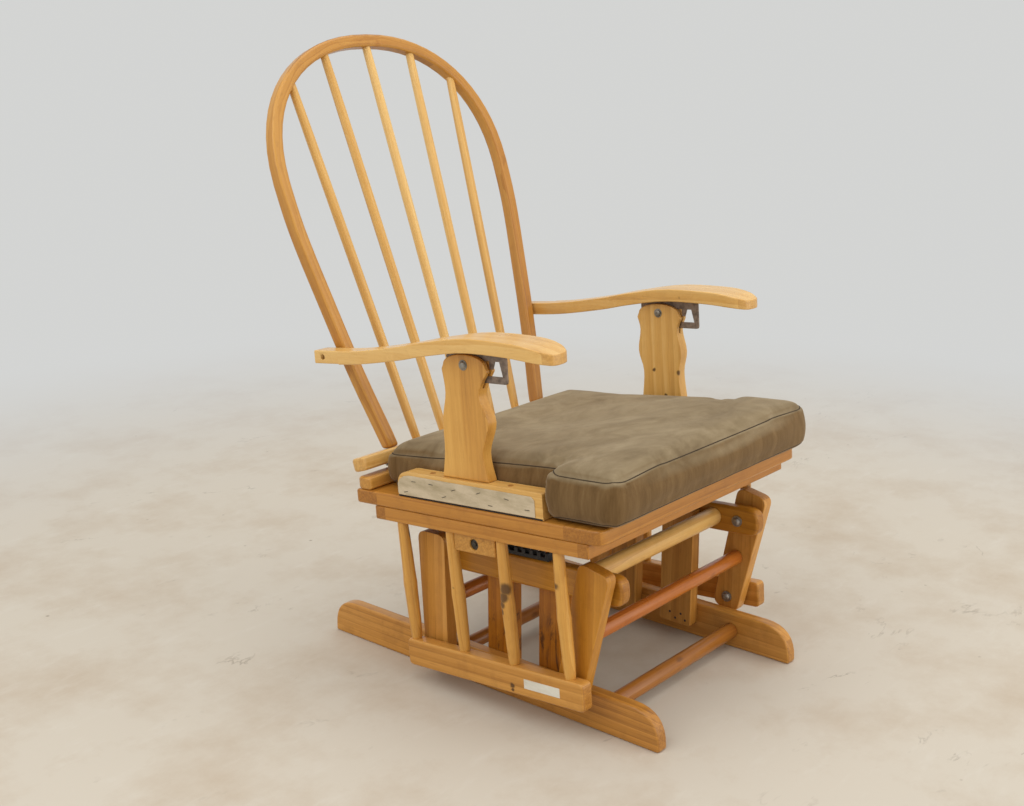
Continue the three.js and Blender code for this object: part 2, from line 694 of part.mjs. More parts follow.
// The armrest is its S-shaped side outline met with its paddle-shaped plan outline.
function armrestGeometry(side) {
  const under = ARM_UNDERSIDE.getPoints(28);
  const thickAt = (y) => {
    const share = THREE.MathUtils.clamp((y - ARM_NOSE.y0) / (ARM_NOSE.y1 - ARM_NOSE.y0), 0, 1);
    return ARM_THICK - ARM_NOSE.thinner * share ** 2;
  };
  const over = under.map((point) => new THREE.Vector2(point.x, point.y + thickAt(point.x))).reverse();
  const profile = toSolid(sidePlate(new THREE.Shape([...under, ...over]), side > 0 ? 200 : -310, side > 0 ? 310 : -200));
  const plan = new THREE.SplineCurve(
    [
      [241, 272],
      [240, 160],
      [229, 30],
      [222, -90],
      [222, -165],
      [225, -190],
      [231, -206],
      [243, -216.5],
      [268, -217],
      [280, -206],
      [286, -190],
      [288, -165],
      [287, -90],
      [281, 30],
      [277, 160],
      [276, 272],
    ].map(([x, y]) => new THREE.Vector2(side * x, y)),
  ).getPoints(64);
  const corners = side > 0 ? plan : plan.reverse();
  const paddle = profile.intersect(toSolid(planPlate(new THREE.Shape(corners), 480, 620)));
  const { outerX, y0, boreRadius, boreFloorX } = ARM_TAIL;
  const [x0, x1] = sideSpan(side, outerX + 40, 40);
  const step = toSolid(block(x0, x1, y0, y0 + 100, 480, 620));
  const bore = [
    [side * boreFloorX, 0],
    [side * boreFloorX, boreRadius],
    [side * (outerX + 10), boreRadius],
    [side * (outerX + 10), 0],
  ];
  const sunk = turnedAlongX(side > 0 ? bore : bore.reverse(), ARM_PIVOT.x, ARM_PIVOT.y);
  return toGeometry(paddle.subtract(step).subtract(toSolid(sunk)));
}

// A flat steel plate under the armrest, with a slot whose upper edge is notched.
function reclinePlateGeometry(side) {
  const outline = new THREE.Shape();
  outline.moveTo(PLATE.y1, PLATE.z0);
  const steps = 8;
  for (let i = 0; i <= steps; i++) {
    const y = PLATE.y1 + ((PLATE.y0 - PLATE.y1) * i) / steps;
    outline.lineTo(y, underArm(y) - GAP - 0.2);
  }
  outline.lineTo(PLATE.y0, PLATE.z0 + 5);
  outline.quadraticCurveTo(PLATE.y0, PLATE.z0, PLATE.y0 + 5, PLATE.z0);
  outline.closePath();
  const slot = new THREE.Path();
  slot.moveTo(PLATE.slotY0, PLATE.slotZ0);
  slot.lineTo(PLATE.slotY1, PLATE.slotZ0);
  for (let i = 0; i < NOTCH.count; i++) {
    const centre = NOTCH.rearY - i * NOTCH.pitch;
    if (i > 0) slot.lineTo(centre + NOTCH.width / 2 + NOTCH.slant, PLATE.slotZ1);
    slot.lineTo(centre + NOTCH.width / 2, NOTCH.topZ);
    slot.lineTo(centre - NOTCH.width / 2, NOTCH.topZ);
    if (i < NOTCH.count - 1) slot.lineTo(centre - NOTCH.width / 2, PLATE.slotZ1);
  }
  slot.closePath();
  outline.holes.push(slot);
  const outerX = ARM_POST.outerX - ARM_POST.thick / 2 + PLATE.thick / 2;
  return sidePlate(outline, ...sideSpan(side, outerX, PLATE.thick), 3);
}

for (const [name, side] of SIDES) {
  addMesh(seatFrame, `armrest_${name}`, armrestGeometry(side), wood(HONEY));
  addMesh(seatFrame, `recline_plate_${name}`, reclinePlateGeometry(side), metal("#7a6a5c"));
}

export default chair;
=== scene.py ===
import json
import math

import bmesh
import bpy
from mathutils import Matrix, Vector, noise
from mathutils.bvhtree import BVHTree


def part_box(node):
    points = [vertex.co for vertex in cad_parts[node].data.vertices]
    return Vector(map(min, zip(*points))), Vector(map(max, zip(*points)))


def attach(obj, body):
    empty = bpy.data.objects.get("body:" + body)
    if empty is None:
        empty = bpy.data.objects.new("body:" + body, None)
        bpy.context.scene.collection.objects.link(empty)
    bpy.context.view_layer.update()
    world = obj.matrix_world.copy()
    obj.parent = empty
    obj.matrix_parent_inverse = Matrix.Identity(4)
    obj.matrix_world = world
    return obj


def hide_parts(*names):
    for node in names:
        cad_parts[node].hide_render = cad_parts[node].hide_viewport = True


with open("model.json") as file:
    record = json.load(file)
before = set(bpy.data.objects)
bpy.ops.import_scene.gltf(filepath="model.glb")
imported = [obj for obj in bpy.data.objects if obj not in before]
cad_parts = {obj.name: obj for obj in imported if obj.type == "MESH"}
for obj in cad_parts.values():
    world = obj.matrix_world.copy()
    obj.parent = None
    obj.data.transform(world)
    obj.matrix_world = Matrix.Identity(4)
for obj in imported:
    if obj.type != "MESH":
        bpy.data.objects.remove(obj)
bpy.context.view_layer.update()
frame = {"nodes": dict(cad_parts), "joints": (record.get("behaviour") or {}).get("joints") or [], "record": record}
MM = 0.001

# ------------------------------------------------------------------ camera
# Eye-level three-quarter view of the chair's front and its sitter's-right side.
CAMERA_PLACE = Vector((-1.6872, -1.37222, 0.9975))
CAMERA_HEADING = math.radians(49.863)  # clockwise from +Y
CAMERA_DIP = math.radians(14.963)
CAMERA_ROLL = math.radians(-0.211)
CAMERA_LENS = 48.02

ahead = Vector(
    (
        math.sin(CAMERA_HEADING) * math.cos(CAMERA_DIP),
        math.cos(CAMERA_HEADING) * math.cos(CAMERA_DIP),
        -math.sin(CAMERA_DIP),
    )
)
level_right = ahead.cross(Vector((0, 0, 1))).normalized()
level_up = level_right.cross(ahead)
right = level_right * math.cos(CAMERA_ROLL) + level_up * math.sin(CAMERA_ROLL)
up = level_up * math.cos(CAMERA_ROLL) - level_right * math.sin(CAMERA_ROLL)
camera_data = bpy.data.cameras.new("camera")
camera_data.lens = CAMERA_LENS
camera_data.sensor_width = 36
camera_data.clip_end = 60
camera = bpy.data.objects.new("camera", camera_data)
bpy.context.scene.collection.objects.link(camera)
turn = Matrix((right, up, -ahead)).transposed().to_4x4()
camera.matrix_world = Matrix.Translation(CAMERA_PLACE) @ turn
bpy.context.scene.camera = camera

# ------------------------------------------------------------------ floor, backdrop and lights
# A pale painted studio floor that fades into a plain pale backdrop, lit by large soft boxes.
BACKDROP = (0.655, 0.66, 0.65)
FLOOR = (0.60, 0.54, 0.455)
FLOOR_STAIN = (0.47, 0.365, 0.26)


def add_node(tree, kind, values=None, **settings):
    """A shader node with its sockets set or linked: a value that is a socket is linked."""
    made = tree.nodes.new(kind)
    for key, setting in settings.items():
        setattr(made, key, setting)
    for key, value in (values or {}).items():
        if isinstance(value, bpy.types.NodeSocket):
            tree.links.new(value, made.inputs[key])
        else:
            made.inputs[key].default_value = value
    return made


def ramp(tree, factor, stops):
    """A colour ramp over (position, colour) stops."""
    made = add_node(tree, "ShaderNodeValToRGB", {"Fac": factor})
    elements = made.color_ramp.elements
    while len(elements) < len(stops):
        elements.new(0.5)
    for element, (position, colour) in zip(elements, stops):
        element.position = position
        element.color = (*colour, 1)
    return made.outputs["Color"]


def grey_ramp(tree, factor, low, high):
    return ramp(tree, factor, [(low, (0, 0, 0)), (high, (1, 1, 1))])


def mix(tree, factor, a, b):
    """One colour mixed into another; a and b may be sockets or colours."""
    made = add_node(tree, "ShaderNodeMix", data_type="RGBA", clamp_result=True)
    for index, value in ((0, factor), (6, a), (7, b)):
        if isinstance(value, bpy.types.NodeSocket):
            tree.links.new(value, made.inputs[index])
        elif index == 0:
            made.inputs[index].default_value = value
        else:
            made.inputs[index].default_value = (*value, 1)
    return made.outputs[2]


def calculate(tree, operation, a, b=0.0, clamp=False):
    return add_node(tree, "ShaderNodeMath", {0: a, 1: b}, operation=operation, use_clamp=clamp).outputs[0]


def times(tree, a, b, clamp=False):
    return calculate(tree, "MULTIPLY", a, b, clamp)


def plus(tree, a, b):
    return calculate(tree, "ADD", a, b)


def fall(tree, value, start, stop, curve="SMOOTHSTEP"):
    """One where a value is under start, falling to nothing at stop."""
    values = {"Value": value, "From Min": start, "From Max": stop, "To Min": 1.0, "To Max": 0.0}
    return add_node(tree, "ShaderNodeMapRange", values, interpolation_type=curve).outputs["Result"]


def start_material(name):
    """A new material, with its node tree, its shader and the place on the object."""
    material = bpy.data.materials.new(name)
    material.use_nodes = True
    tree = material.node_tree
    place = add_node(tree, "ShaderNodeTexCoord").outputs["Object"]
    return material, tree, tree.nodes["Principled BSDF"], place


def raise_surface(tree, shader, height, strength, distance):
    bump = add_node(tree, "ShaderNodeBump", {"Height": height, "Strength": strength, "Distance": distance})
    tree.links.new(bump.outputs[0], shader.inputs["Normal"])


def stretched(tree, vector, scale):
    return add_node(tree, "ShaderNodeMapping", {"Vector": vector, "Scale": scale}).outputs["Vector"]


def cloudy(tree, vector, scale=1.0, detail=2.0, roughness=0.5, distortion=0.0):
    values = {"Vector": vector, "Scale": scale, "Detail": detail, "Roughness": roughness}
    values["Distortion"] = distortion
    return add_node(tree, "ShaderNodeTexNoise", values).outputs["Fac"]


def floor_material():
    material, tree, shader, place = start_material("painted_floor")
    stains = grey_ramp(tree, cloudy(tree, place, 3.6, 8, 0.68), 0.46, 0.70)
    scuffs = grey_ramp(tree, cloudy(tree, stretched(tree, place, (2.2, 7, 1)), 4, 6, 0.65), 0.56, 0.72)
    painted = mix(tree, times(tree, stains, 0.6), FLOOR, FLOOR_STAIN)
    painted = mix(tree, times(tree, scuffs, 0.22), painted, (0.70, 0.67, 0.61))
    wander = cloudy(tree, stretched(tree, place, (1.5, 3.4, 1)), 1.6, 6, 0.6, 0.4)
    off_line = calculate(tree, "ABSOLUTE", calculate(tree, "SUBTRACT", wander, 0.5))
    thin = fall(tree, off_line, 0.0, 0.009, "LINEAR")
    broken = grey_ramp(tree, cloudy(tree, place, 5.5, 4, 0.7), 0.56, 0.66)
    cracks = times(tree, thin, broken, clamp=True)
    painted = mix(tree, times(tree, cracks, 0.5), painted, (0.22, 0.17, 0.12))
    cells = add_node(tree, "ShaderNodeTexVoronoi", {"Vector": place, "Scale": 17.0}).outputs["Distance"]
    speck = fall(tree, cells, 0.035, 0.075, "LINEAR")
    rare = grey_ramp(tree, cloudy(tree, place, 9, 3, 0.6), 0.58, 0.62)
    specks = times(tree, speck, rare, clamp=True)
    painted = mix(tree, times(tree, specks, 0.55), painted, (0.20, 0.14, 0.09))
    tree.links.new(painted, shader.inputs["Base Color"])
    shader.inputs["Roughness"].default_value = 0.7
    shader.inputs["Specular IOR Level"].default_value = 0.25
    distance = add_node(tree, "ShaderNodeVectorMath", {0: place}, operation="LENGTH").outputs["Value"]
    away = add_node(
        tree,
        "ShaderNodeMapRange",
        {"Value": distance, "From Min": 0.9, "From Max": 2.6},
        interpolation_type="SMOOTHSTEP",
    ).outputs["Result"]
    glow = add_node(tree, "ShaderNodeEmission", {"Color": (*BACKDROP, 1), "Strength": 1.0})
    blend = add_node(tree, "ShaderNodeMixShader", {0: away})
    tree.links.new(shader.outputs[0], blend.inputs[1])
    tree.links.new(glow.outputs[0], blend.inputs[2])
    tree.links.new(blend.outputs[0], tree.nodes["Material Output"].inputs["Surface"])
    return material


def into_mesh(shape, name):
    made = bpy.data.meshes.new(name)
    shape.to_mesh(made)
    shape.free()
    return made


floor_shape = bmesh.new()
bmesh.ops.create_circle(floor_shape, cap_ends=True, radius=30, segments=96)
floor_mesh = into_mesh(floor_shape, "floor")
floor = bpy.data.objects.new("floor", floor_mesh)
floor_mesh.materials.append(floor_material())
bpy.context.scene.collection.objects.link(floor)

world = bpy.data.worlds.new("backdrop")
world.use_nodes = True
world.node_tree.nodes["Background"].inputs["Color"].default_value = (*BACKDROP, 1)
world.node_tree.nodes["Background"].inputs["Strength"].default_value = 1.0
bpy.context.scene.world = world
bpy.context.scene.view_settings.view_transform = "Standard"


def soft_box(name, place, aim, size, power, colour):
    data = bpy.data.lights.new(name, "AREA")
    data.shape = "SQUARE"
    data.size = size
    data.energy = power
    data.color = colour
    lamp = bpy.data.objects.new(name, data)
    facing = (Vector(aim) - Vector(place)).to_track_quat("-Z", "Y").to_matrix()
    lamp.matrix_world = Matrix.Translation(place) @ facing.to_4x4()
    bpy.context.scene.collection.objects.link(lamp)


soft_box("key_light", (-2.6, 0.3, 2.6), (0, 0, 0.45), 3.0, 40, (1.0, 0.98, 0.94))
soft_box("top_light", (0.5, -0.4, 3.4), (0, 0, 0.4), 4.0, 46, (1.0, 0.99, 0.97))
soft_box("front_light", (1.0, -3.4, 1.3), (0, 0, 0.3), 3.4, 60, (1.0, 0.95, 0.87))

# ------------------------------------------------------------------ how the wood is dressed
# Every board and turned stick is stained, lacquered hardwood. Boards are planed, rounded over
# with a router and sanded; the grain runs along each one, and end grain shows at the cut ends.
WOOD_TONES = {
    "honey": {"pale": (0.73, 0.40, 0.095), "mid": (0.59, 0.285, 0.054), "dark": (0.32, 0.125, 0.02)},
    "bow": {"pale": (0.60, 0.30, 0.06), "mid": (0.45, 0.19, 0.03), "dark": (0.22, 0.075, 0.011)},
    "light_honey": {"pale": (0.78, 0.50, 0.18), "mid": (0.66, 0.365, 0.095), "dark": (0.40, 0.18, 0.04)},
    "gold": {"pale": (0.66, 0.33, 0.075), "mid": (0.50, 0.22, 0.038), "dark": (0.22, 0.08, 0.014)},
    "amber": {"pale": (0.55, 0.245, 0.027), "mid": (0.42, 0.165, 0.013), "dark": (0.19, 0.062, 0.006)},
    "frame": {"pale": (0.56, 0.25, 0.042), "mid": (0.43, 0.172, 0.023), "dark": (0.21, 0.072, 0.010)},
    "umber": {"pale": (0.53, 0.20, 0.014), "mid": (0.37, 0.124, 0.007), "dark": (0.13, 0.036, 0.003)},
    "chestnut": {"pale": (0.42, 0.165, 0.028), "mid": (0.30, 0.105, 0.015), "dark": (0.14, 0.042, 0.006)},
    "russet": {"pale": (0.52, 0.17, 0.024), "mid": (0.39, 0.105, 0.013), "dark": (0.19, 0.045, 0.006)},
}


def knot_mask(tree, place, spots):
    """Dark knots at fixed points of the row frame, each (centre, radius) in metres."""
    values = {"Vector": place, "Scale": 90.0, "Detail": 2.0}
    wobble = add_node(tree, "ShaderNodeTexNoise", values).outputs["Color"]
    shift = add_node(tree, "ShaderNodeVectorMath", {0: wobble, 1: (-0.5, -0.5, -0.5)}, operation="ADD")
    shift = add_node(tree, "ShaderNodeVectorMath", {0: shift.outputs[0], "Scale": 0.006}, operation="SCALE")
    bent = add_node(tree, "ShaderNodeVectorMath", {0: place, 1: shift.outputs[0]}, operation="ADD")
    total = None
    for centre, radius in spots:
        far = add_node(tree, "ShaderNodeVectorMath", {0: bent.outputs[0], 1: centre}, operation="DISTANCE")
        spot = fall(tree, far.outputs["Value"], radius * 0.45, radius)
        total = spot if total is None else calculate(tree, "MAXIMUM", total, spot)
    return total


def timber(name, tone, gloss=0.36, pin_knots=0.0, figure=0.0, ring=34.0, knots=(), grime=0.25):
    """Stained wood that reads each piece's own grain attribute: x and z across, y along."""
    shades = WOOD_TONES[tone]
    material, tree, shader, place = start_material(name)
    grain = add_node(tree, "ShaderNodeAttribute", attribute_name="grain").outputs["Vector"]
    board = cloudy(tree, stretched(tree, grain, (5, 0.7, 5)), 1.0, 2, 0.5)
    values = {"Vector": stretched(tree, grain, (1, 0.07, 1)), "Scale": ring, "Distortion": 3.2, "Detail": 3.0}
    values.update({"Detail Scale": 0.9, "Detail Roughness": 0.6})
    looks = {"wave_type": "RINGS", "rings_direction": "Y", "wave_profile": "SAW"}
    rings = add_node(tree, "ShaderNodeTexWave", values, **looks).outputs["Fac"]
    fibre = cloudy(tree, stretched(tree, grain, (420, 11, 420)), 1.0, 3, 0.65)
    streak = cloudy(tree, stretched(tree, grain, (95, 2.6, 95)), 1.0, 3, 0.6)
    blend = times(tree, rings, 0.14)
    for part, share in ((fibre, 0.22), (streak, 0.32), (board, 0.46)):
        blend = plus(tree, blend, times(tree, part, share))
    colour = ramp(tree, blend, [(0.30, shades["dark"]), (0.52, shades["mid"]), (0.74, shades["pale"])])
    pores = grey_ramp(tree, cloudy(tree, stretched(tree, grain, (1400, 42, 1400)), 1.0, 1, 0.5), 0.62, 0.74)
    colour = mix(tree, times(tree, pores, 0.35), colour, shades["dark"])
    end = add_node(tree, "ShaderNodeAttribute", attribute_name="end_face").outputs["Fac"]
    end_rings = grey_ramp(tree, cloudy(tree, stretched(tree, grain, (300, 60, 300)), 1.0, 3, 0.7), 0.35, 0.7)
    end_colour = mix(tree, end_rings, shades["dark"], shades["mid"])
    colour = mix(tree, times(tree, end, 0.6), colour, end_colour)
    if figure > 0:
        swirl = cloudy(tree, stretched(tree, grain, (42, 11, 42)), 1.0, 5, 0.72, 1.6)
        height = add_node(tree, "ShaderNodeSeparateXYZ", {0: place}).outputs["Z"]
        low_down = fall(tree, height, 0.10, 0.20)
        burl = times(tree, times(tree, grey_ramp(tree, swirl, 0.53, 0.64), low_down), figure)
        colour = mix(tree, burl, colour, (0.045, 0.016, 0.006))
    if pin_knots > 0:
        values = {"Vector": stretched(tree, grain, (30, 17, 30)), "Scale": 1.0, "Randomness": 1.0}
        cells = add_node(tree, "ShaderNodeTexVoronoi", values).outputs["Distance"]
        rough = plus(tree, cells, times(tree, streak, 0.18))
        dots = times(tree, fall(tree, rough, 0.15, 0.30), pin_knots)
        colour = mix(tree, dots, colour, (0.075, 0.026, 0.01))
    if knots:
        spots = times(tree, knot_mask(tree, place, knots), 0.85)
        colour = mix(tree, spots, colour, (0.05, 0.018, 0.007))
    dirt = grey_ramp(tree, cloudy(tree, place, 26, 5, 0.65), 0.52, 0.74)
    colour = mix(tree, times(tree, dirt, grime), colour, shades["dark"])
    tree.links.new(colour, shader.inputs["Base Color"])
    smear = cloudy(tree, place, 14, 3, 0.6)
    rough = plus(tree, times(tree, smear, 0.22), gloss - 0.1)
    tree.links.new(rough, shader.inputs["Roughness"])
    shader.inputs["Coat Weight"].default_value = 0.14
    shader.inputs["Coat Roughness"].default_value = 0.22
    shader.inputs["Specular IOR Level"].default_value = 0.36
    height = plus(tree, times(tree, fibre, 0.6), times(tree, streak, 0.7))
    raise_surface(tree, shader, height, 0.16, 0.0006)
    return material


ALONG_X = Matrix(((0, 1, 0), (1, 0, 0), (0, 0, 1)))
ALONG_Y = Matrix.Identity(3)
ALONG_Z = Matrix(((1, 0, 0), (0, 0, 1), (0, 1, 0)))


def set_grain(mesh, lay, offset=(0, 0, 0)):
    """Gives a mesh its grain coordinates, laid along one of the axes, and marks its end faces."""
    shift = Vector(offset)
    grain = mesh.attributes.new("grain", "FLOAT_VECTOR", "POINT")
    for vertex, slot in zip(mesh.vertices, grain.data):
        slot.vector = lay @ vertex.co + shift
    mark_ends(mesh, lay.row[1])


def mark_ends(mesh, along, steepness=0.8):
    """Marks the faces that look along the grain, where end grain shows."""
    ends = mesh.attributes.get("end_face") or mesh.attributes.new("end_face", "FLOAT", "FACE")
    for face, slot in zip(mesh.polygons, ends.data):
        slot.value = 1.0 if abs(face.normal.dot(along)) > steepness else 0.0


def finish_piece(name, mesh, material, body, slot, *replaced, weighted=True):
    """Links a finished mesh as a piece that rides on a body and stands for CAD nodes."""
    piece = bpy.data.objects.new(name, mesh)
    bpy.context.scene.collection.objects.link(piece)
    mesh.materials.clear()
    mesh.materials.append(material)
    mesh.shade_smooth()
    mesh.set_sharp_from_angle(angle=math.radians(36))
    if weighted:
        weights = piece.modifiers.new("even_shading", "WEIGHTED_NORMAL")
        weights.keep_sharp = True
    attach(piece, body)
    if replaced:
        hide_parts(*replaced)
    return piece


BODY_OF = {}
for body_name, members in frame["record"]["behaviour"]["bodies"].items():
    for member in members:
        BODY_OF[member] = body_name
SLOT_OF = {entry["node"]: entry["material_slot"] for entry in frame["record"]["subparts"]}


def merged_copy(node_name):
    """A bmesh of a CAD node with its loose triangles merged and its flat faces rejoined."""
    shape = bmesh.new()
    shape.from_mesh(frame["nodes"][node_name].data)
    bmesh.ops.remove_doubles(shape, verts=shape.verts, dist=2e-6)
    nearly_flat = math.radians(0.6)
    bmesh.ops.dissolve_limit(shape, angle_limit=nearly_flat, verts=shape.verts, edges=shape.edges)
    return shape


def crosses_itself(shape):
    """True where faces that share no corner cut through each other."""
    shape.faces.ensure_lookup_table()
    shape.verts.index_update()
    corners = [{vertex.index for vertex in face.verts} for face in shape.faces]
    tree = BVHTree.FromBMesh(shape)
    return any(corners[a].isdisjoint(corners[b]) for a, b in tree.overlap(tree))


def ease_edges(shape, radius, segments=3, sharper_than=38, keep=None):
    """Rounds the sharp edges over, as a router does, with a smaller cutter where one won't fit."""
    angle = math.radians(sharper_than)
    sawn = bpy.data.meshes.new("sawn")
    shape.to_mesh(sawn)
    for share in (1.0, 0.8, 0.6, 0.45, 0.3, 0.2, 0.1):
        edges = [
            edge
            for edge in shape.edges
            if len(edge.link_faces) == 2 and edge.calc_face_angle() > angle and (keep is None or keep(edge))
        ]
        bmesh.ops.bevel(
            shape,
            geom=edges,
            offset=radius * share,
            offset_type="OFFSET",
            affect="EDGES",
            segments=segments,
            profile=0.5,
            material=-1,
            clamp_overlap=False,
        )
        if not crosses_itself(shape):
            break
        shape.clear()
        shape.from_mesh(sawn)
    bpy.data.meshes.remove(sawn)


def board(node_name, lay, material, radius=0.003, segments=3, keep=None):
    """A planed board: the CAD node's shape with its edges rounded over and its grain laid."""
    shape = merged_copy(node_name)
    ease_edges(shape, radius, segments, keep=keep)
    mesh = into_mesh(shape, node_name + "_wood")
    centre = sum((Vector(corner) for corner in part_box(node_name)), Vector()) / 2
    seed = noise.cell_vector(centre * 37.0)
    set_grain(mesh, lay, seed * 1.7)
    body, slot = BODY_OF[node_name], SLOT_OF[node_name]
    return finish_piece(node_name + "_wood", mesh, material, body, slot, node_name)


def turned(name, start, end, steps, material, body, slot, *replaced, sides=28, wobble=0.0):
    """A stick turned on a lathe: (share of length, radius) steps spun round the line start-end."""
    axis = end - start
    length = axis.length
    shape = bmesh.new()
    chain = [shape.verts.new((0, 0, 0))]
    chain += [shape.verts.new((radius, 0, share * length)) for share, radius in steps]
    chain.append(shape.verts.new((0, 0, length)))
    edges = [shape.edges.new(pair) for pair in zip(chain, chain[1:])]
    bmesh.ops.spin(
        shape,
        geom=chain + edges,
        cent=(0, 0, 0),
        axis=(0, 0, 1),
        angle=math.tau,
        steps=sides,
        use_merge=True,
    )
    bmesh.ops.remove_doubles(shape, verts=shape.verts, dist=1e-6)
    bmesh.ops.recalc_face_normals(shape, faces=shape.faces)
    if wobble:
        for vertex in shape.verts:
            push = noise.noise(Vector((start.x * 40, start.y * 40, vertex.co.z * 14)))
            vertex.co.x += push * wobble
            vertex.co.y += noise.noise(Vector((start.y * 31, 7.0, vertex.co.z * 11))) * wobble
    mesh = into_mesh(shape, name)
    seed = noise.cell_vector(start * 53.0 + Vector((3, 5, 7)))
    set_grain(mesh, ALONG_Z, seed * 1.9)
    spin_to = Vector((0, 0, 1)).rotation_difference(axis).to_matrix().to_4x4()
    mesh.transform(Matrix.Translation(start) @ spin_to)
    return finish_piece(name, mesh, material, body, slot, *replaced, weighted=False)


def plain_stick(length, radius, ease=0.0012):
    """Steps of a straight dowel with slightly eased ends."""
    share = ease / length
    first = [(0, radius - ease), (share * 0.4, radius - ease * 0.3), (share, radius)]
    return first + [(0.5, radius)] + [(1 - along, size) for along, size in reversed(first)]


# ------------------------------------------------------------------ floor-standing base
# Two runners with radiused tips carry two screwed-on posts a side, and the posts carry a sloping
# fixed rail. Turned stretchers tie the two sides together.
runner_wood = timber("runner_wood", "gold", gloss=0.34, grime=0.35)
rail_wood = timber("fixed_rail_wood", "amber", gloss=0.36, ring=26.0)
post_wood = timber("base_post_wood", "umber", gloss=0.4, figure=0.85, ring=22.0)
plain_post_wood = timber("plain_post_wood", "gold", gloss=0.4, ring=24.0)
for side in ("right", "left"):
    board(f"floor_runner_{side}", ALONG_Y, runner_wood, 0.006, 4)
    board(f"fixed_rail_{side}", ALONG_Y, rail_wood, 0.0055, 4)
    for end in ("front", "rear"):
        board(f"base_post_{end}_{side}", ALONG_Z, post_wood if side == "right" else plain_post_wood, 0.003)

stretcher_wood = timber("stretcher_wood", "chestnut", gloss=0.33, pin_knots=0.5)
russet_wood = timber("russet_dowel_wood", "russet", gloss=0.3, pin_knots=0.35, ring=20.0)
pale_stretcher_wood = timber("pale_stretcher_wood", "light_honey", gloss=0.36, pin_knots=0.25)


def cross_dowel(node_name, material):
    """A dowel that fills a CAD node's box from side to side."""
    low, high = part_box(node_name)
    middle = (low + high) / 2
    start = Vector((low.x, middle.y, middle.z))
    end = Vector((high.x, middle.y, middle.z))
    steps = plain_stick(high.x - low.x, (high.z - low.z) / 2)
    body, slot = BODY_OF[node_name], SLOT_OF[node_name]
    turned(node_name + "_turned", start, end, steps, material, body, slot, node_name, sides=36)


cross_dowel("lower_stretcher_front", stretcher_wood)
cross_dowel("lower_stretcher_rear", stretcher_wood)
cross_dowel("upper_stretcher_front", pale_stretcher_wood)

# ------------------------------------------------------------------ swinging links
# Four flat links hang from bolts through the fixed rails, in pairs joined by a stained dowel.
link_wood = timber("link_wood", "amber", gloss=0.36, ring=20.0)
pale_link_wood = timber("pale_link_wood", "gold", gloss=0.36, ring=22.0)
for end in ("front", "rear"):
    for side in ("right", "left"):
        shade = link_wood if (end, side) == ("front", "right") else pale_link_wood
        board(f"{end}_link_{side}", ALONG_Z, shade, 0.004, 4)
cross_dowel("front_link_dowel", russet_wood)
cross_dowel("rear_link_dowel", russet_wood)


# ------------------------------------------------------------------ pivot bolts
# Plated bolts with a domed head, a stamped washer under it, and a nylon spacer between the moving
# boards. The heads face the middle of the chair.
def metal(name, colour, roughness, rust=0.0):
    """Plated or bare steel, dulled in patches, with rust spots."""
    material, tree, shader, place = start_material(name)
    fine = cloudy(tree, stretched(tree, place, (300, 900, 900)), 1.0, 3, 0.6)
    patches = cloudy(tree, place, 120, 4, 0.6)
    dull = tuple(channel * 0.55 for channel in colour)
    shade = mix(tree, grey_ramp(tree, patches, 0.42, 0.66), colour, dull)
    if rust > 0:
        spots = grey_ramp(tree, cloudy(tree, place, 210, 5, 0.7), 0.55, 0.68)
        shade = mix(tree, times(tree, spots, rust), shade, (0.16, 0.065, 0.025))
    tree.links.new(shade, shader.inputs["Base Color"])
    shader.inputs["Metallic"].default_value = 0.85
    spread = plus(tree, times(tree, fine, 0.25), roughness)
    tree.links.new(spread, shader.inputs["Roughness"])
    raise_surface(tree, shader, fine, 0.12, 0.0003)
    return material


def moulded_plastic(name, colour, roughness):
    """Moulded plastic, a little dusty; in near-black it also stands as painted shade: the gap under the arm
    blocks, the seam grooves and the open screw holes.
    """
    material, tree, shader, place = start_material(name)
    specks = cloudy(tree, place, 260, 3, 0.6)
    dusty = tuple(min(1, channel * 3 + 0.02) for channel in colour)
    dust = grey_ramp(tree, cloudy(tree, place, 60, 4, 0.6), 0.5, 0.75)
    shade = mix(tree, times(tree, dust, 0.5), colour, dusty)
    tree.links.new(shade, shader.inputs["Base Color"])
    spread = plus(tree, times(tree, specks, 0.2), roughness)
    tree.links.new(spread, shader.inputs["Roughness"])
    raise_surface(tree, shader, specks, 0.1, 0.0003)
    return material


bolt_steel = metal("bolt_steel", (0.42, 0.40, 0.37), 0.28, rust=0.5)


def plain_turned(name, start, end, steps, material, body, slot, *replaced, sides=24):
    """A turned metal or plastic piece, with fewer sides than a wooden stick."""
    turned(name, start, end, steps, material, body, slot, *replaced, sides=sides)


for node_name in sorted(frame["nodes"]):
    if "pivot_bolt" not in node_name:
        continue
    low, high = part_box(node_name)
    outward = -1 if node_name.endswith("right") else 1
    inner_x = high.x if outward < 0 else low.x
    outer_x = low.x if outward < 0 else high.x
    length = abs(outer_x - inner_x)
    centre = (low + high) / 2
    upper = node_name.startswith("upper")
    collar = (29.6, 37.0) if upper else (30.0, 34.2)
    steps = [
        (0.0, 0.0028),
        (0.6, 0.0052),
        (1.6, 0.0066),
        (3.6, 0.0072),
        (4.6, 0.0072),
        (4.7, 0.0092),
        (6.8, 0.0094),
        (7.0, 0.0090),
        (7.0, 0.0040),
        (collar[0], 0.0040),
        (collar[0], 0.0104),
        (collar[0] + 0.5, 0.0109),
        (collar[1] - 0.5, 0.0109),
        (collar[1], 0.0104),
        (collar[1], 0.0040),
        (length / MM, 0.0038),
    ]
    shares = [(along * MM / length, radius) for along, radius in steps]
    start = Vector((inner_x, centre.y, centre.z))
    end = Vector((outer_x, centre.y, centre.z))
    body = BODY_OF[node_name]
    plain_turned(node_name + "_steel", start, end, shares, bolt_steel, body, "bolt_steel", node_name)

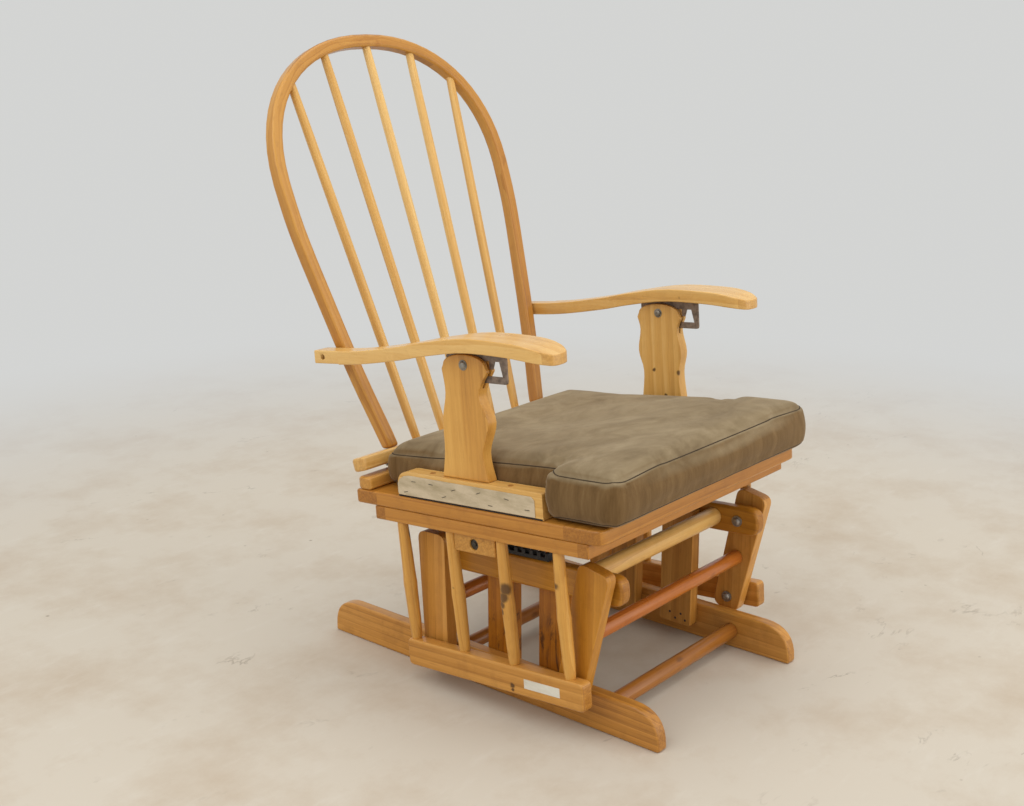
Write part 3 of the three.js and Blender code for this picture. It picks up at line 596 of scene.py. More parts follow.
# ------------------------------------------------------------------ glide rails and side spindles
# A straight rail a side hangs on the lower pivots; four knotty turned sticks rise from it to the
# seat frame.
SEAT_LEAN = math.radians(4.7)
MIDDLE_Y = 53.62
LEAN_CENTRE_Z = 345
SEAT_PLACE = (
    Matrix.Translation((0, -MIDDLE_Y * MM, LEAN_CENTRE_Z * MM))
    @ Matrix.Rotation(-SEAT_LEAN, 4, "X")
    @ Matrix.Translation((0, 0, -LEAN_CENTRE_Z * MM))
)


def seat_point(x, y, z):
    """A point given in millimetres in the seat's own frame."""
    return SEAT_PLACE @ Vector((x * MM, y * MM, z * MM))


LEANING_Y = SEAT_PLACE.to_3x3().transposed()
LEANING_X = ALONG_X @ LEANING_Y
LEANING_Z = ALONG_Z @ LEANING_Y
RAIL_KNOTS = [((-0.257, -0.1643, 0.0589), 0.006), ((-0.257, -0.166, 0.052), 0.004)]
glide_rail_wood = timber("glide_rail_wood", "gold", gloss=0.32, ring=18.0, knots=RAIL_KNOTS, grime=0.35)
SPINDLE_KNOTS = [
    ((-0.262, -0.1560, 0.2120), 0.0135),
    ((-0.262, -0.1520, 0.1980), 0.0105),
    ((-0.262, -0.1500, 0.1860), 0.0085),
    ((-0.260, -0.1480, 0.1740), 0.0065),
    ((-0.266, -0.0535, 0.1874), 0.006),
    ((-0.266, -0.2512, 0.2432), 0.0065),
]
spindle_wood = timber("side_spindle_wood", "honey", gloss=0.34, pin_knots=0.9, knots=SPINDLE_KNOTS)
SPINDLE_FOOT_X = 246
SPINDLE_HEAD_X = 257
SPINDLE_FOOT_Z = 81.2
SPINDLE_HEAD_Z = 277.8
SPINDLE_YS = (-192, -86, 15, 118)
SPINDLE_STEPS = [
    (0.0, 0.0078),
    (0.012, 0.0084),
    (0.06, 0.0090),
    (0.16, 0.0097),
    (0.36, 0.0102),
    (0.44, 0.0106),
    (0.475, 0.0110),
    (0.505, 0.0107),
    (0.56, 0.0100),
    (0.72, 0.0095),
    (0.88, 0.0089),
    (0.98, 0.0083),
    (1.0, 0.0080),
]
for side, outward in (("right", -1), ("left", 1)):
    board(f"glide_rail_{side}", LEANING_Y, glide_rail_wood, 0.0055, 4)
    for index, y in enumerate(SPINDLE_YS, start=1):
        turned(
            f"side_spindle_{index}_{side}_turned",
            seat_point(outward * SPINDLE_FOOT_X, y, SPINDLE_FOOT_Z),
            seat_point(outward * SPINDLE_HEAD_X, y, SPINDLE_HEAD_Z),
            SPINDLE_STEPS,
            spindle_wood,
            "seat",
            "honey_wood",
            f"side_spindle_{index}_{side}",
            wobble=0.0007,
        )

# ------------------------------------------------------------------ seat frames
# Two glued frames of flat boards lie one on the other. The lower one is set back a little; the
# upper one has rounded front corners and carries the cushion on woven straps.
lower_frame_wood = timber("lower_frame_wood", "frame", gloss=0.34, ring=20.0, grime=0.3)
top_frame_wood = timber("top_frame_wood", "frame", gloss=0.32, ring=24.0, grime=0.3)


def frame_board(node_name, material, radius, joints):
    """A glued frame: the cross members run right across, and the side members butt between them."""
    shape = merged_copy(node_name)
    ease_edges(shape, radius, 3)
    lean = SEAT_PLACE.to_3x3() @ Vector((0, 1, 0))
    for y in joints:
        geometry = shape.verts[:] + shape.edges[:] + shape.faces[:]
        bmesh.ops.bisect_plane(shape, geom=geometry, plane_co=seat_point(0, y, 300), plane_no=lean)
    mesh = into_mesh(shape, node_name + "_wood")
    grain = mesh.attributes.new("grain", "FLOAT_VECTOR", "CORNER")
    ends = mesh.attributes.new("end_face", "FLOAT", "FACE")
    for face in mesh.polygons:
        y = (LEANING_Y @ face.center).y / MM
        front, rear = ((LEANING_Y @ seat_point(0, joint, 300)).y / MM for joint in joints)
        is_cross = y < front or y > rear
        lay = LEANING_X if is_cross else LEANING_Y
        shift = Vector((0.7 if y < 0 else 0.2, 1.3, 0.2 if face.center.x < 0 or is_cross else 0.9))
        ends.data[face.index].value = 1.0 if is_cross and abs(face.normal.x) > 0.8 else 0.0
        for corner in face.loop_indices:
            grain.data[corner].vector = lay @ mesh.vertices[mesh.loops[corner].vertex_index].co + shift
    return finish_piece(node_name + "_wood", mesh, material, "seat", SLOT_OF[node_name], node_name)


frame_board("seat_lower_frame", lower_frame_wood, 0.0025, (-236, 144))
frame_board("seat_top_frame", top_frame_wood, 0.004, (-214, 158))
hinge_bar_wood = timber("hinge_bar_wood", "honey", gloss=0.32)
board("seat_hinge_bar", LEANING_X, hinge_bar_wood, 0.0045, 4)
block_wood = timber("arm_block_wood", "light_honey", gloss=0.32)
for side in ("right", "left"):
    board(f"arm_block_{side}", LEANING_Y, block_wood, 0.003)
lock_block_wood = timber("lock_block_wood", "honey", gloss=0.36, ring=40.0)
board("glide_lock_block", LEANING_X, lock_block_wood, 0.0018, 2)
POST_KNOTS = [
    ((0.24, -0.1226, 0.4407), 0.0065),
    ((0.24, -0.0709, 0.4381), 0.0045),
    ((0.24, -0.0972, 0.3974), 0.004),
]
arm_post_wood = timber("arm_post_wood", "honey", gloss=0.32, ring=15.0, grime=0.12)
pale_post_wood = timber("pale_arm_post_wood", "light_honey", 0.32, ring=15.0, knots=POST_KNOTS, grime=0.1)
board("arm_post_right", LEANING_Z, arm_post_wood, 0.0038, 4)
board("arm_post_left", LEANING_Z, pale_post_wood, 0.0038, 4)

# ------------------------------------------------------------------ trims and fittings of the seat
# Pale backing strips are stapled to the outer faces of the arm blocks, over their screw holes, and
# wooden plugs cover the screws from above. A blank label is stuck on one glide rail.
STAPLES = (
    (92, 332),
    (74, 350),
    (38, 350),
    (12, 334),
    (-8, 347),
    (-58, 349),
    (-80, 333),
    (-112, 347),
    (-150, 336),
)
PLUGS = (46, -109)


def cut_sheet(name, outline, x0, x1, material, ease=0.0004):
    """A flat piece cut to (depth, height) points of the seat's own frame, between two x planes."""
    shape = bmesh.new()
    ring = [shape.verts.new((x0 * MM, y * MM, z * MM)) for y, z in outline]
    grown = bmesh.ops.extrude_face_region(shape, geom=[shape.faces.new(ring)])
    moved = [item for item in grown["geom"] if isinstance(item, bmesh.types.BMVert)]
    bmesh.ops.translate(shape, verts=moved, vec=((x1 - x0) * MM, 0, 0))
    bmesh.ops.recalc_face_normals(shape, faces=shape.faces)
    ease_edges(shape, ease, 2)
    bmesh.ops.transform(shape, matrix=SEAT_PLACE, verts=shape.verts)
    mesh = into_mesh(shape, name)
    finish_piece(name, mesh, material, "seat", None)


def paper(name, colour, stain, roughness=0.8):
    """Card or paper, a little soiled."""
    material, tree, shader, place = start_material(name)
    soiled = grey_ramp(tree, cloudy(tree, stretched(tree, place, (30, 16, 60)), 1.0, 5, 0.65), 0.42, 0.72)
    fibres = grey_ramp(tree, cloudy(tree, stretched(tree, place, (900, 240, 900)), 1.0, 3, 0.6), 0.45, 0.7)
    shade = mix(tree, soiled, colour, stain)
    shade = mix(tree, times(tree, fibres, 0.22), shade, stain)
    tree.links.new(shade, shader.inputs["Base Color"])
    shader.inputs["Roughness"].default_value = roughness
    shader.inputs["Specular IOR Level"].default_value = 0.2
    raise_surface(tree, shader, fibres, 0.2, 0.0004)
    return material


STAPLE_CROWN = Matrix.Diagonal((0.0007, 0.0085, 0.0008, 1))


def staple_row(name, outer_x, spots):
    """Flat-crowned staples driven into a strip, each at (depth, height) in the seat's own frame."""
    shape = bmesh.new()
    for index, (y, z) in enumerate(spots):
        made = bmesh.ops.create_cube(shape, size=1.0)["verts"]
        tilt = Matrix.Rotation(math.radians(noise.cell(Vector((index, y, z))) * 16 - 8), 4, "X")
        place = Matrix.Translation((outer_x * MM, y * MM, z * MM)) @ tilt
        bmesh.ops.transform(shape, matrix=place @ STAPLE_CROWN, verts=made)
    bmesh.ops.transform(shape, matrix=SEAT_PLACE, verts=shape.verts)
    mesh = into_mesh(shape, name)
    finish_piece(name, mesh, staple_steel, "seat", "bolt_steel", weighted=False)


backing_card = paper("backing_card", (0.60, 0.49, 0.34), (0.40, 0.32, 0.20))
label_paper = paper("label_paper", (0.74, 0.71, 0.62), (0.58, 0.53, 0.42), 0.6)
staple_steel = metal("staple_steel", (0.10, 0.09, 0.075), 0.4, rust=0.5)
plug_wood = timber("plug_wood", "amber", gloss=0.4, ring=60.0)
STRIP_OUTLINE = (
    (-164, 326.5),
    (107, 326.5),
    (109, 329),
    (109, 344),
    (104, 351),
    (95, 356.5),
    (84, 358.5),
    (-158, 357),
    (-164, 352),
)
# A thin near-black strip under each arm block is painted shadow: it stands for the shade in the gap between the
# block and the top frame.
GAP_SHADOW_OUTLINE = ((-177, 323.4), (109, 323.4), (109, 326.0), (-177, 326.0))
painted_gap_shadow = moulded_plastic("painted_gap_shadow", (0.02, 0.012, 0.008), 0.8)
BLOCK_FACE_X = 268
for side, outward in (("right", -1), ("left", 1)):
    face_x = outward * BLOCK_FACE_X
    gap_shadow_x = face_x + outward * 0.15
    strip_x = face_x + outward * 1.1
    # The near-black strip cut here is painted shadow in the gap under the arm block.
    cut_sheet(f"gap_shadow_strip_{side}", GAP_SHADOW_OUTLINE, outward * 262, gap_shadow_x, painted_gap_shadow, 0.00005)
    cut_sheet(f"backing_strip_{side}", STRIP_OUTLINE, face_x, strip_x, backing_card)
    staple_row(f"staples_{side}", face_x + outward * 1.25, STAPLES)
    for index, y in enumerate(PLUGS, start=1):
        low = seat_point(outward * 254, y, 361.8)
        high = seat_point(outward * 254, y, 363.9)
        steps = [(0, 0.0046), (0.8, 0.0046), (1, 0.0040)]
        turned(f"block_plug_{index}_{side}", low, high, steps, plug_wood, "seat", "honey_wood", sides=20)
LABEL_OUTLINE = ((-178.5, 51), (-111, 51), (-111, 66), (-178.5, 66))
cut_sheet("blank_label", LABEL_OUTLINE, -257.0, -257.3, label_paper, 0.00005)

# Bolts through the domed posts, with a pan head outside, a nut inside, and washers under both.
zinc = metal("zinc", (0.33, 0.31, 0.27), 0.34, rust=0.45)
NOTCH_BOLT_Y = -38.5
NOTCH_BOLT_Z = 537.2
for side, outward in (("right", -1), ("left", 1)):
    steps = [
        (0.0, 0.0022),
        (0.5, 0.0040),
        (1.7, 0.0056),
        (2.9, 0.0060),
        (3.1, 0.0078),
        (3.9, 0.0078),
        (4.0, 0.0026),
        (23.6, 0.0026),
        (23.8, 0.0078),
        (24.6, 0.0078),
        (24.8, 0.0058),
        (27.6, 0.0056),
        (28.4, 0.0044),
        (28.6, 0.0024),
    ]
    length = steps[-1][0] * MM
    start = seat_point(outward * 264.1, NOTCH_BOLT_Y, NOTCH_BOLT_Z)
    end = seat_point(outward * 235.5, NOTCH_BOLT_Y, NOTCH_BOLT_Z)
    shares = [(along * MM / length, radius) for along, radius in steps]
    plain_turned(f"notch_bolt_{side}", start, end, shares, zinc, "seat", "bolt_steel")

# The lever of the glide lock is missing: only its recessed bolt is left in the hanging block.
lock_steps = [(0, 0.0020), (0.03, 0.0036), (0.12, 0.0040), (0.13, 0.0083), (1, 0.0083)]
plain_turned(
    "glide_lock_bolt",
    seat_point(-261.2, -34, 264),
    seat_point(-239, -34, 264),
    lock_steps,
    staple_steel,
    "seat",
    "bolt_steel",
)

# ------------------------------------------------------------------ back: bar, bow and spindles
# A steam-bent bow stands on a flat bar, with five slender sticks between them. The bar turns on a
# long strip hinge along the seat's rear bar.
BACK_LEAN = math.radians(19.66)
hinge_joint = next(joint for joint in frame["joints"] if joint["name"] == "back_recline")
BACK_PLACE = Matrix.Translation(Vector(hinge_joint["pos_m"])) @ Matrix.Rotation(-BACK_LEAN, 4, "X")
RECLINED_Y = BACK_PLACE.to_3x3().transposed()
back_bar_wood = timber("back_bar_wood", "light_honey", gloss=0.32)
board("back_bar", ALONG_X @ RECLINED_Y, back_bar_wood, 0.0045, 4)

BOW_OUTLINE = ((24.8, 198), (147, 227), (282, 252), (395, 269.5), (473, 274))
BOW_SPRING_Z, BOW_HALF = BOW_OUTLINE[-1]
BOW_RISE = 712 - BOW_SPRING_Z
BOW_ROUND = 2.2  # the power of the crown's curve, where 2 is an ellipse
BOW_THICK = 21.5


def bow_grain(point):
    """Grain coordinates that follow the bend: share of the half width, run along the bow, depth."""
    local = BACK_PLACE.inverted() @ point
    x, z = abs(local.x) / MM, local.z / MM
    if z <= BOW_SPRING_Z:
        outer = BOW_OUTLINE[0][1]
        for (z0, x0), (z1, x1) in zip(BOW_OUTLINE, BOW_OUTLINE[1:]):
            if z0 <= z:
                outer = x0 + (x1 - x0) * (z - z0) / (z1 - z0)
        share, run = x / outer, z
    else:
        across, over = x / BOW_HALF, (z - BOW_SPRING_Z) / BOW_RISE
        share = (across**BOW_ROUND + over**BOW_ROUND) ** (1 / BOW_ROUND)
        run = BOW_SPRING_Z + 250 * math.atan2(over, across)
    side = 1.0 if local.x > 0 else -1.0
    return Vector((0.27 * share + 0.4, side * run * MM, local.y))


bow_wood = timber("bow_wood", "bow", gloss=0.3, ring=30.0, grime=0.2)
shape = merged_copy("back_bow")
ease_edges(shape, 0.0052, 4)
bow_mesh = into_mesh(shape, "back_bow_wood")
bow_attribute = bow_mesh.attributes.new("grain", "FLOAT_VECTOR", "POINT")
for vertex, entry in zip(bow_mesh.vertices, bow_attribute.data):
    entry.vector = bow_grain(vertex.co)
mark_ends(bow_mesh, Vector((0, 0, -1)))
finish_piece("back_bow_wood", bow_mesh, bow_wood, "back", "honey_wood", "back_bow")

back_spindle_wood = timber("back_spindle_wood", "light_honey", gloss=0.3, grime=0.1)
BACK_SPINDLES = ((-127, -189), (-62, -101), (0, 0), (62, 101), (127, 189))
BACK_SPINDLE_Y = -8
BACK_SPINDLE_STEPS = [
    (0, 0.0066),
    (0.004, 0.0070),
    (0.05, 0.0076),
    (0.3, 0.0081),
    (0.6, 0.0082),
    (0.85, 0.0078),
    (0.98, 0.0071),
    (1, 0.0068),
]
for index, (foot_x, head_x) in enumerate(BACK_SPINDLES, start=1):
    drop = 1 - (abs(head_x) / BOW_HALF) ** BOW_ROUND
    outer_z = BOW_SPRING_Z + BOW_RISE * drop ** (1 / BOW_ROUND)
    inner_z = outer_z - BOW_THICK / max(0.75, drop**0.35)
    foot = BACK_PLACE @ Vector((foot_x * MM, BACK_SPINDLE_Y * MM, BOW_OUTLINE[0][0] * MM))
    head = BACK_PLACE @ Vector((head_x * MM, BACK_SPINDLE_Y * MM, (inner_z + 3) * MM))
    node_name = f"back_spindle_{index}"
    name = node_name + "_turned"
    turned(name, foot, head, BACK_SPINDLE_STEPS, back_spindle_wood, "back", "honey_wood", node_name)

# ------------------------------------------------------------------ armrests
# Each armrest is sawn to an S from the side and a paddle from above, then rounded all round.
ARMREST_KNOTS = [
    ((0.226, -0.125, 0.5735), 0.0042),
    ((0.226, -0.131, 0.5755), 0.0045),
    ((0.226, -0.137, 0.577), 0.004),
]
armrest_wood = timber("armrest_wood", "light_honey", gloss=0.28, ring=16.0, knots=ARMREST_KNOTS, grime=0.12)
ARM_PIVOT_YZ = (252, 532.6)
ARM_BORE_REACH = 0.0062


def outside_bore(edge):
    """True for edges away from the sunk pivot hole, whose rim stays crisp."""
    pivot = seat_point(0, *ARM_PIVOT_YZ)
    return all(math.hypot(v.co.y - pivot.y, v.co.z - pivot.z) > ARM_BORE_REACH for v in edge.verts)


for side in ("right", "left"):
    armrest = board(f"armrest_{side}", LEANING_Y, armrest_wood, 0.0062, 5, keep=outside_bore)
    # The nose is marked as end grain over a wider turn, so its front is darker: partly real end grain, partly
    # painted shade where the nose turns to face forward.
    mark_ends(armrest.data, LEANING_Y.row[1], 0.5)

# A pivot screw is sunk in the outer face at each armrest's tail.
for side, outward in (("right", -1), ("left", 1)):
    start = seat_point(outward * 259.5, *ARM_PIVOT_YZ)
    end = seat_point(outward * 256.2, *ARM_PIVOT_YZ)
    steps = [(0, 0.0016), (0.3, 0.0034), (1, 0.0042)]
    plain_turned(f"arm_pivot_screw_{side}", start, end, steps, staple_steel, f"arm_{side}", "bolt_steel")

# ------------------------------------------------------------------ steel and plastic parts
# The notched recline plates, the strip hinge's two leaves and the toothed lock rack.
plate_steel = metal("plate_steel", (0.30, 0.235, 0.19), 0.42, rust=0.35)
hinge_steel = metal("hinge_steel", (0.40, 0.37, 0.32), 0.34)
rack_plastic = moulded_plastic("rack_plastic", (0.012, 0.012, 0.013), 0.4)

# Four screw holes are left open at the foot of the front post on the sitter's left; each is a short near-black
# cylinder that paints the shade inside the hole.
FOOT_HOLES = ((-119, 42), (-130, 33), (-141, 43), (-150, 33))
for index, (y, z) in enumerate(FOOT_HOLES, start=1):
    rim = Vector((155.5, y - MIDDLE_Y, z)) * MM
    bottom = Vector((157.5, y - MIDDLE_Y, z)) * MM
    steps = [(0, 0.0021), (1, 0.0021)]
    hole = f"painted_screw_hole_shade_{index}"
    plain_turned(hole, rim, bottom, steps, rack_plastic, "base", "black_plastic", sides=14)


def pressed(node_name, material, radius, segments=2):
    """A metal or moulded CAD shape with its edges just broken."""
    shape = merged_copy(node_name)
    ease_edges(shape, radius, segments)
    name = node_name + "_finished"
    body, slot = BODY_OF[node_name], SLOT_OF[node_name]
    finish_piece(name, into_mesh(shape, name), material, body, slot, node_name)


for side in ("right", "left"):
    pressed(f"recline_plate_{side}", plate_steel, 0.0004)
for leaf in ("lower", "upper"):
    pressed(f"back_hinge_{leaf}_leaf", hinge_steel, 0.0002)
pressed("glide_lock_rack", rack_plastic, 0.0008)

# ------------------------------------------------------------------ webbing
# Three woven black straps each way cross the opening of the upper frame, and hold the cushion up.
def woven_strap(name, colour):
    """Tight plain-woven webbing."""
    material, tree, shader, place = start_material(name)
    threads = stretched(tree, place, (240, 240, 240))
    values = {"Vector": threads, "Scale": 1.0, "Mortar Size": 0.1, "Bias": 0.0}
    weave = add_node(tree, "ShaderNodeTexBrick", values)
    light = tuple(channel * 1.8 for channel in colour)
    shade = mix(tree, weave.outputs["Fac"], light, colour)
    tree.links.new(shade, shader.inputs["Base Color"])
    shader.inputs["Roughness"].default_value = 0.85
    raise_surface(tree, shader, weave.outputs["Fac"], 0.4, 0.0005)
    return material


pressed("seat_webbing", woven_strap("strap_webbing", (0.028, 0.028, 0.03)), 0.0004, 1)

# ------------------------------------------------------------------ seat cushion
# A T-shaped foam block in olive-brown suede: a top and a bottom panel sewn to a boxing band. It is
# thinner at the rear, where it has been sat flat, and its top panel crowns between the seams.
CUSHION_FLOOR = 326.0
LOW_SEAM_Z = 332.0
TOP_SEAM_Z = 397.0
NOTCH_X = 233
NOTCH_Y = -184
FRONT_Y = -306
REAR_TEE = {"half_x": NOTCH_X, "y0": FRONT_Y, "y1": 167, "corner": 24}
FRONT_TEE = {"half_x": 264, "y0": FRONT_Y, "y1": NOTCH_Y, "corner": 27}
BULGE = {"front": 7.0, "side": 10.5, "beside_arm": 2.6, "rear": 7.0}


def rounded_box_depth(x, y, half_x, y0, y1, corner):
    """How far a plan point lies inside a rounded rectangle, in millimetres, negative outside."""
    over_x = abs(x) - half_x + corner
    over_y = abs(y - (y0 + y1) / 2) - (y1 - y0) / 2 + corner
    outside = math.hypot(max(over_x, 0), max(over_y, 0))
    return corner - outside - min(max(over_x, over_y), 0)


def in_tee(x, y):
    """How far a plan point lies inside the T outline."""
    return max(rounded_box_depth(x, y, **REAR_TEE), rounded_box_depth(x, y, **FRONT_TEE))


def outward_from_tee(x, y):
    """The direction straight out of the T outline at a plan point."""
    step = 1.5
    run_x = in_tee(x - step, y) - in_tee(x + step, y)
    run_y = in_tee(x, y - step) - in_tee(x, y + step)
    length = math.hypot(run_x, run_y)
    return (run_x / length, run_y / length) if length > 1e-6 else (0.0, 0.0)


def smooth_share(value, low, high):
    """Nothing up to low and one from high on, with a smooth step between."""
    share = min(1.0, max(0.0, (value - low) / (high - low)))
    return share * share * (3 - 2 * share)


def top_seam(x, y):
    """Height of the top seam, which falls to the rear and a little at the front corners."""
    share = min(1.0, max(0.0, (y + 300) / 465))
    corner = smooth_share(abs(x), 150, 262) * smooth_share(-y, 150, 300)
    return TOP_SEAM_Z - 3.0 * share - 18.5 * share**2 - 4.0 * corner


def crown(x, y, inside):
    """How far the top panel stands over its seam."""
    rearward = smooth_share(y, 20, 150)
    rolled = (4.6 + 5.0 * rearward) * (1 - math.exp(-max(inside, 0) / (5.0 + 3.0 * rearward)))
    filled = (9.0 + 6.0 * rearward) * (1 - math.exp(-max(inside, 0) / 60.0))
    sat = 7.5 * math.exp(-(((x - 8) / 120) ** 2) - ((y + 10) / 105) ** 2)
    return rolled + filled - sat


def side_bulge(x, y):
    """How far the boxing bulges at its middle height."""
    if y < -290 and abs(x) < 262:
        return BULGE["front"]
    if y > 150:
        return BULGE["rear"]
    if y > NOTCH_Y:
        return BULGE["beside_arm"]
    return BULGE["side"]


def notch_creases(x, y):
    """Depth of the creases that the seams pull from the inner corners of the T."""
    depth = 0.0
    for corner_x in (-NOTCH_X, NOTCH_X):
        inward = -math.copysign(1, corner_x)
        run_x, run_y = (x - corner_x) * inward, y - NOTCH_Y
        reach = math.hypot(run_x, run_y)
        bend = noise.noise(Vector((x / 30, y / 30, corner_x))) * 5
        for heading, deep in ((0.62, 2.6), (0.1, 1.9), (1.25, 1.5), (0.35, 1.2)):
            along = run_x * math.cos(heading) + run_y * math.sin(heading)
            across = run_y * math.cos(heading) - run_x * math.sin(heading) + bend
            if along > 0:
                depth += deep * math.exp(-((across / 5.5) ** 2)) * math.exp(-(((reach - 22) / 34) ** 2))
    return depth


def shape_cushion(mesh):
    """Gives the remeshed block its boxing, its crown and its bulging sides."""
    low = min(vertex.co.z for vertex in mesh.vertices) / MM
    high = max(vertex.co.z for vertex in mesh.vertices) / MM
    for vertex in mesh.vertices:
        x, y, z = (value / MM for value in vertex.co)
        inside = in_tee(x, y)
        share = (z - low) / (high - low)
        seam = top_seam(x, y)
        if share > 0.965:
            z = seam + crown(x, y, inside)
        else:
            z = CUSHION_FLOOR + share * (seam - CUSHION_FLOOR)
        if inside < 14 and 0.02 < share < 0.98:
            out_x, out_y = outward_from_tee(x, y)
            bulge = side_bulge(x, y) * max(0.0, math.sin(math.pi * share)) ** 0.7
            x += out_x * bulge
            y += out_y * bulge
        vertex.co = Vector((x * MM, y * MM, z * MM))


LOWEST_Z = 325.6
BESIDE_BLOCK_X = 238.6
REARMOST_Y = 176.0
REAR_FOOT_Z, REAR_FOOT_Y = 348, 169.5


def settle_cushion(mesh):
    """Dents and creases the top, sinks the seams a little and keeps the sides off the arm blocks."""
    for vertex in mesh.vertices:
        x, y, z = (value / MM for value in vertex.co)
        inside = in_tee(x, y)
        seam = top_seam(x, y)
        if z > seam + 2:
            soft = noise.noise(Vector((x / 90, y / 60, 0.3))) * 2.6
            soft += noise.noise(Vector((x / 34, y / 26, 4.0))) * 0.7
            z += soft * smooth_share(inside, 10, 60) - notch_creases(x, y)
        near_top = math.exp(-(((z - seam) / 2.4) ** 2))
        near_low = math.exp(-(((z - LOW_SEAM_Z) / 2.2) ** 2))
        pull = (2.0 * near_top + 1.7 * near_low) if inside < 8 else 0.0
        if pull > 0.05:
            out_x, out_y = outward_from_tee(x, y)
            x -= out_x * pull
            y -= out_y * pull
        band = noise.noise(Vector((x / 50, y / 50, z / 26))) * 1.1 if inside < 4 and z < seam - 6 else 0.0
        if band:
            out_x, out_y = outward_from_tee(x, y)
            x += out_x * band
            y += out_y * band
        z = max(z, LOWEST_Z)
        if y > NOTCH_Y + 1:
            x = min(max(x, -BESIDE_BLOCK_X), BESIDE_BLOCK_X)
        y = min(y, REARMOST_Y)
        if z < REAR_FOOT_Z:
            y = min(y, REAR_FOOT_Y)
        vertex.co = Vector((x * MM, y * MM, z * MM))


def swell(piece, pressure, cap_mm):
    """Blows a closed mesh up a little as cloth, and keeps each point within a cap of its start."""
    bpy.context.view_layer.objects.active = piece
    before = [vertex.co.copy() for vertex in piece.data.vertices]
    cloth = piece.modifiers.new("cloth", "CLOTH")
    settings = cloth.settings
    settings.use_pressure = True
    settings.uniform_pressure_force = pressure
    settings.effector_weights.gravity = 0
    settings.quality = 5
    settings.mass = 0.3
    settings.tension_stiffness = 15
    settings.compression_stiffness = 15
    settings.bending_stiffness = 0.8
    scene = bpy.context.scene
    for step in range(1, 15):
        scene.frame_set(step)
    bpy.ops.object.modifier_apply(modifier=cloth.name)
    scene.frame_set(1)
    cap = cap_mm * MM
    for vertex, start in zip(piece.data.vertices, before):
        move = vertex.co - start
        if move.length > cap:
            vertex.co = start + move.normalized() * cap


# Top nap colours are painted paler, as lit from above, and the boxing's darker, as in shade; both also keep the
# suede's own nap.
LIT_TOP_NAP = ((0.150, 0.103, 0.053), (0.228, 0.168, 0.094), (0.318, 0.247, 0.15))
SHADED_BAND_NAP = ((0.128, 0.070, 0.025), (0.168, 0.096, 0.037), (0.212, 0.127, 0.053))
NAP_SHADE = (0.09, 0.06, 0.034)


def suede():
    """Brushed suede: swirled on top, dragged up and down on the boxing; the top is paler, partly from its nap and
    partly painted light from above, and the boxing darker, partly painted shade.
    """
    material, tree, shader, place = start_material("suede")
    facing_up = add_node(tree, "ShaderNodeSeparateXYZ", {0: place.node.outputs["Normal"]}).outputs["Z"]
    # Faces that look up take the paler top colours: painted light on top, painted shade on the sides.
    lit_top_share = grey_ramp(tree, facing_up, 0.35, 0.75)
    swirls = cloudy(tree, stretched(tree, place, (5.5, 8, 8)), 1.0, 4, 0.62, 0.9)
    hand = cloudy(tree, stretched(tree, place, (16, 22, 20)), 1.0, 4, 0.6, 1.2)
    brushed = plus(tree, times(tree, swirls, 0.62), times(tree, hand, 0.42))
    top = ramp(tree, brushed, [(0.36, LIT_TOP_NAP[0]), (0.52, LIT_TOP_NAP[1]), (0.68, LIT_TOP_NAP[2])])
    drag = cloudy(tree, stretched(tree, place, (90, 90, 9)), 1.0, 4, 0.65)
    band = ramp(tree, drag, [(0.34, SHADED_BAND_NAP[0]), (0.55, SHADED_BAND_NAP[1]), (0.75, SHADED_BAND_NAP[2])])
    colour = mix(tree, lit_top_share, band, top)
    nap = cloudy(tree, place, 1500, 2, 0.6)
    colour = mix(tree, times(tree, grey_ramp(tree, nap, 0.4, 0.7), 0.2), colour, NAP_SHADE)
    tree.links.new(colour, shader.inputs["Base Color"])
    shader.inputs["Roughness"].default_value = 0.95
    shader.inputs["Specular IOR Level"].default_value = 0.12
    shader.inputs["Sheen Weight"].default_value = 0.35
    shader.inputs["Sheen Roughness"].default_value = 0.45
    shader.inputs["Sheen Tint"].default_value = (0.75, 0.65, 0.48, 1)
    pile = plus(tree, times(tree, nap, 0.35), times(tree, hand, 0.45))
    raise_surface(tree, shader, pile, 0.25, 0.0015)
    return material


block = merged_copy("seat_cushion")
bmesh.ops.transform(block, matrix=SEAT_PLACE.inverted(), verts=block.verts)
cushion = bpy.data.objects.new("seat_cushion_suede", into_mesh(block, "seat_cushion_suede"))
bpy.context.scene.collection.objects.link(cushion)
bpy.context.view_layer.objects.active = cushion
remesh = cushion.modifiers.new("voxels", "REMESH")
remesh.mode = "VOXEL"
remesh.voxel_size = 6 * MM
bpy.ops.object.modifier_apply(modifier=remesh.name)
shape_cushion(cushion.data)
swell(cushion, 2.0, 3.5)
finer = cushion.modifiers.new("finer", "SUBSURF")
finer.levels = 1
finer.render_levels = 1
bpy.ops.object.modifier_apply(modifier=finer.name)
settle_cushion(cushion.data)


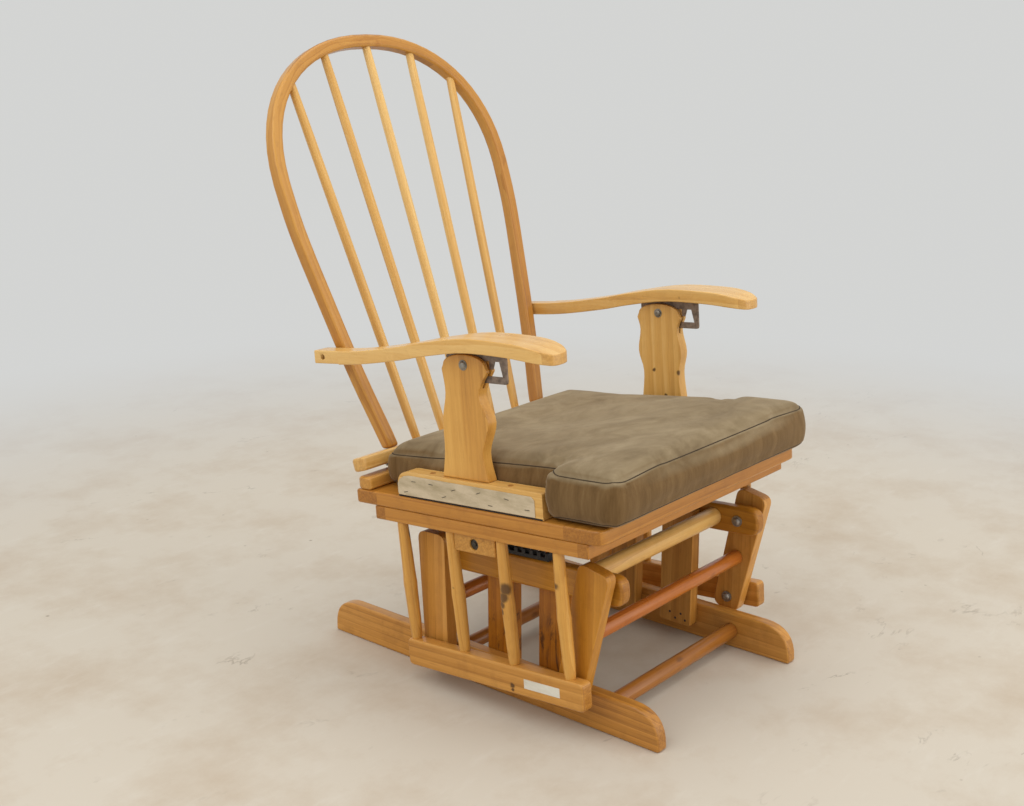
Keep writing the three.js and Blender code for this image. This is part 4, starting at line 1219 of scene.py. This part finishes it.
def tee_outline(step=4.0):
    """Points round the T outline, found by walking its edge."""
    x, y = 0.0, float(FRONT_Y)
    points = [(x, y)]
    while len(points) < 2000:
        out_x, out_y = outward_from_tee(x, y)
        x, y = x - out_y * step, y + out_x * step
        for _ in range(2):
            inside = in_tee(x, y)
            out_x, out_y = outward_from_tee(x, y)
            x, y = x + out_x * inside, y + out_y * inside
        if len(points) > 20 and math.hypot(x, y - FRONT_Y) < step * 0.8:
            return points
        points.append((x, y))
    return points


def sewn_line(name, radius, height_at):
    """A seam lying in its groove: a thin closed tube laid on the cushion's skin, coloured near-black for the
    thread and for the painted shade in the groove.
    """
    points = [vertex.co for vertex in cushion.data.vertices]
    skin = BVHTree.FromPolygons(points, [face.vertices[:] for face in cushion.data.polygons])
    path = []
    for x, y in tee_outline():
        near, normal, _, _ = skin.find_nearest(Vector((x * MM, y * MM, height_at(x, y) * MM)))
        path.append((near, normal))
    shape = bmesh.new()
    sides = 6
    rings = []
    for index, (point, normal) in enumerate(path):
        along = (path[(index + 1) % len(path)][0] - path[index - 1][0]).normalized()
        across = along.cross(normal).normalized()
        out = across.cross(along)
        ring = []
        for turn_index in range(sides):
            angle = math.tau * turn_index / sides
            ring.append(shape.verts.new(point + (across * math.cos(angle) + out * math.sin(angle)) * radius))
        rings.append(ring)
    for index, ring in enumerate(rings):
        other = rings[(index + 1) % len(rings)]
        for turn_index in range(sides):
            follow = (turn_index + 1) % sides
            shape.faces.new((ring[turn_index], ring[follow], other[follow], other[turn_index]))
    bmesh.ops.recalc_face_normals(shape, faces=shape.faces)
    bmesh.ops.transform(shape, matrix=SEAT_PLACE, verts=shape.verts)
    mesh = into_mesh(shape, name)
    finish_piece(name, mesh, seam_thread_and_groove_shade, "seat", "suede_cushion", weighted=False)


# The seam tubes' near-black colour is partly the thread and partly painted shade of the seam's groove.
seam_thread_and_groove_shade = moulded_plastic("seam_thread_and_groove_shade", (0.045, 0.028, 0.014), 0.85)
sewn_line("cushion_top_seam", 0.0009, top_seam)
sewn_line("cushion_low_seam", 0.0008, lambda x, y: LOW_SEAM_Z)
cushion.data.transform(SEAT_PLACE)
cushion.data.materials.clear()
cushion.data.materials.append(suede())
cushion.data.shade_smooth()
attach(cushion, "seat")
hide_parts("seat_cushion")
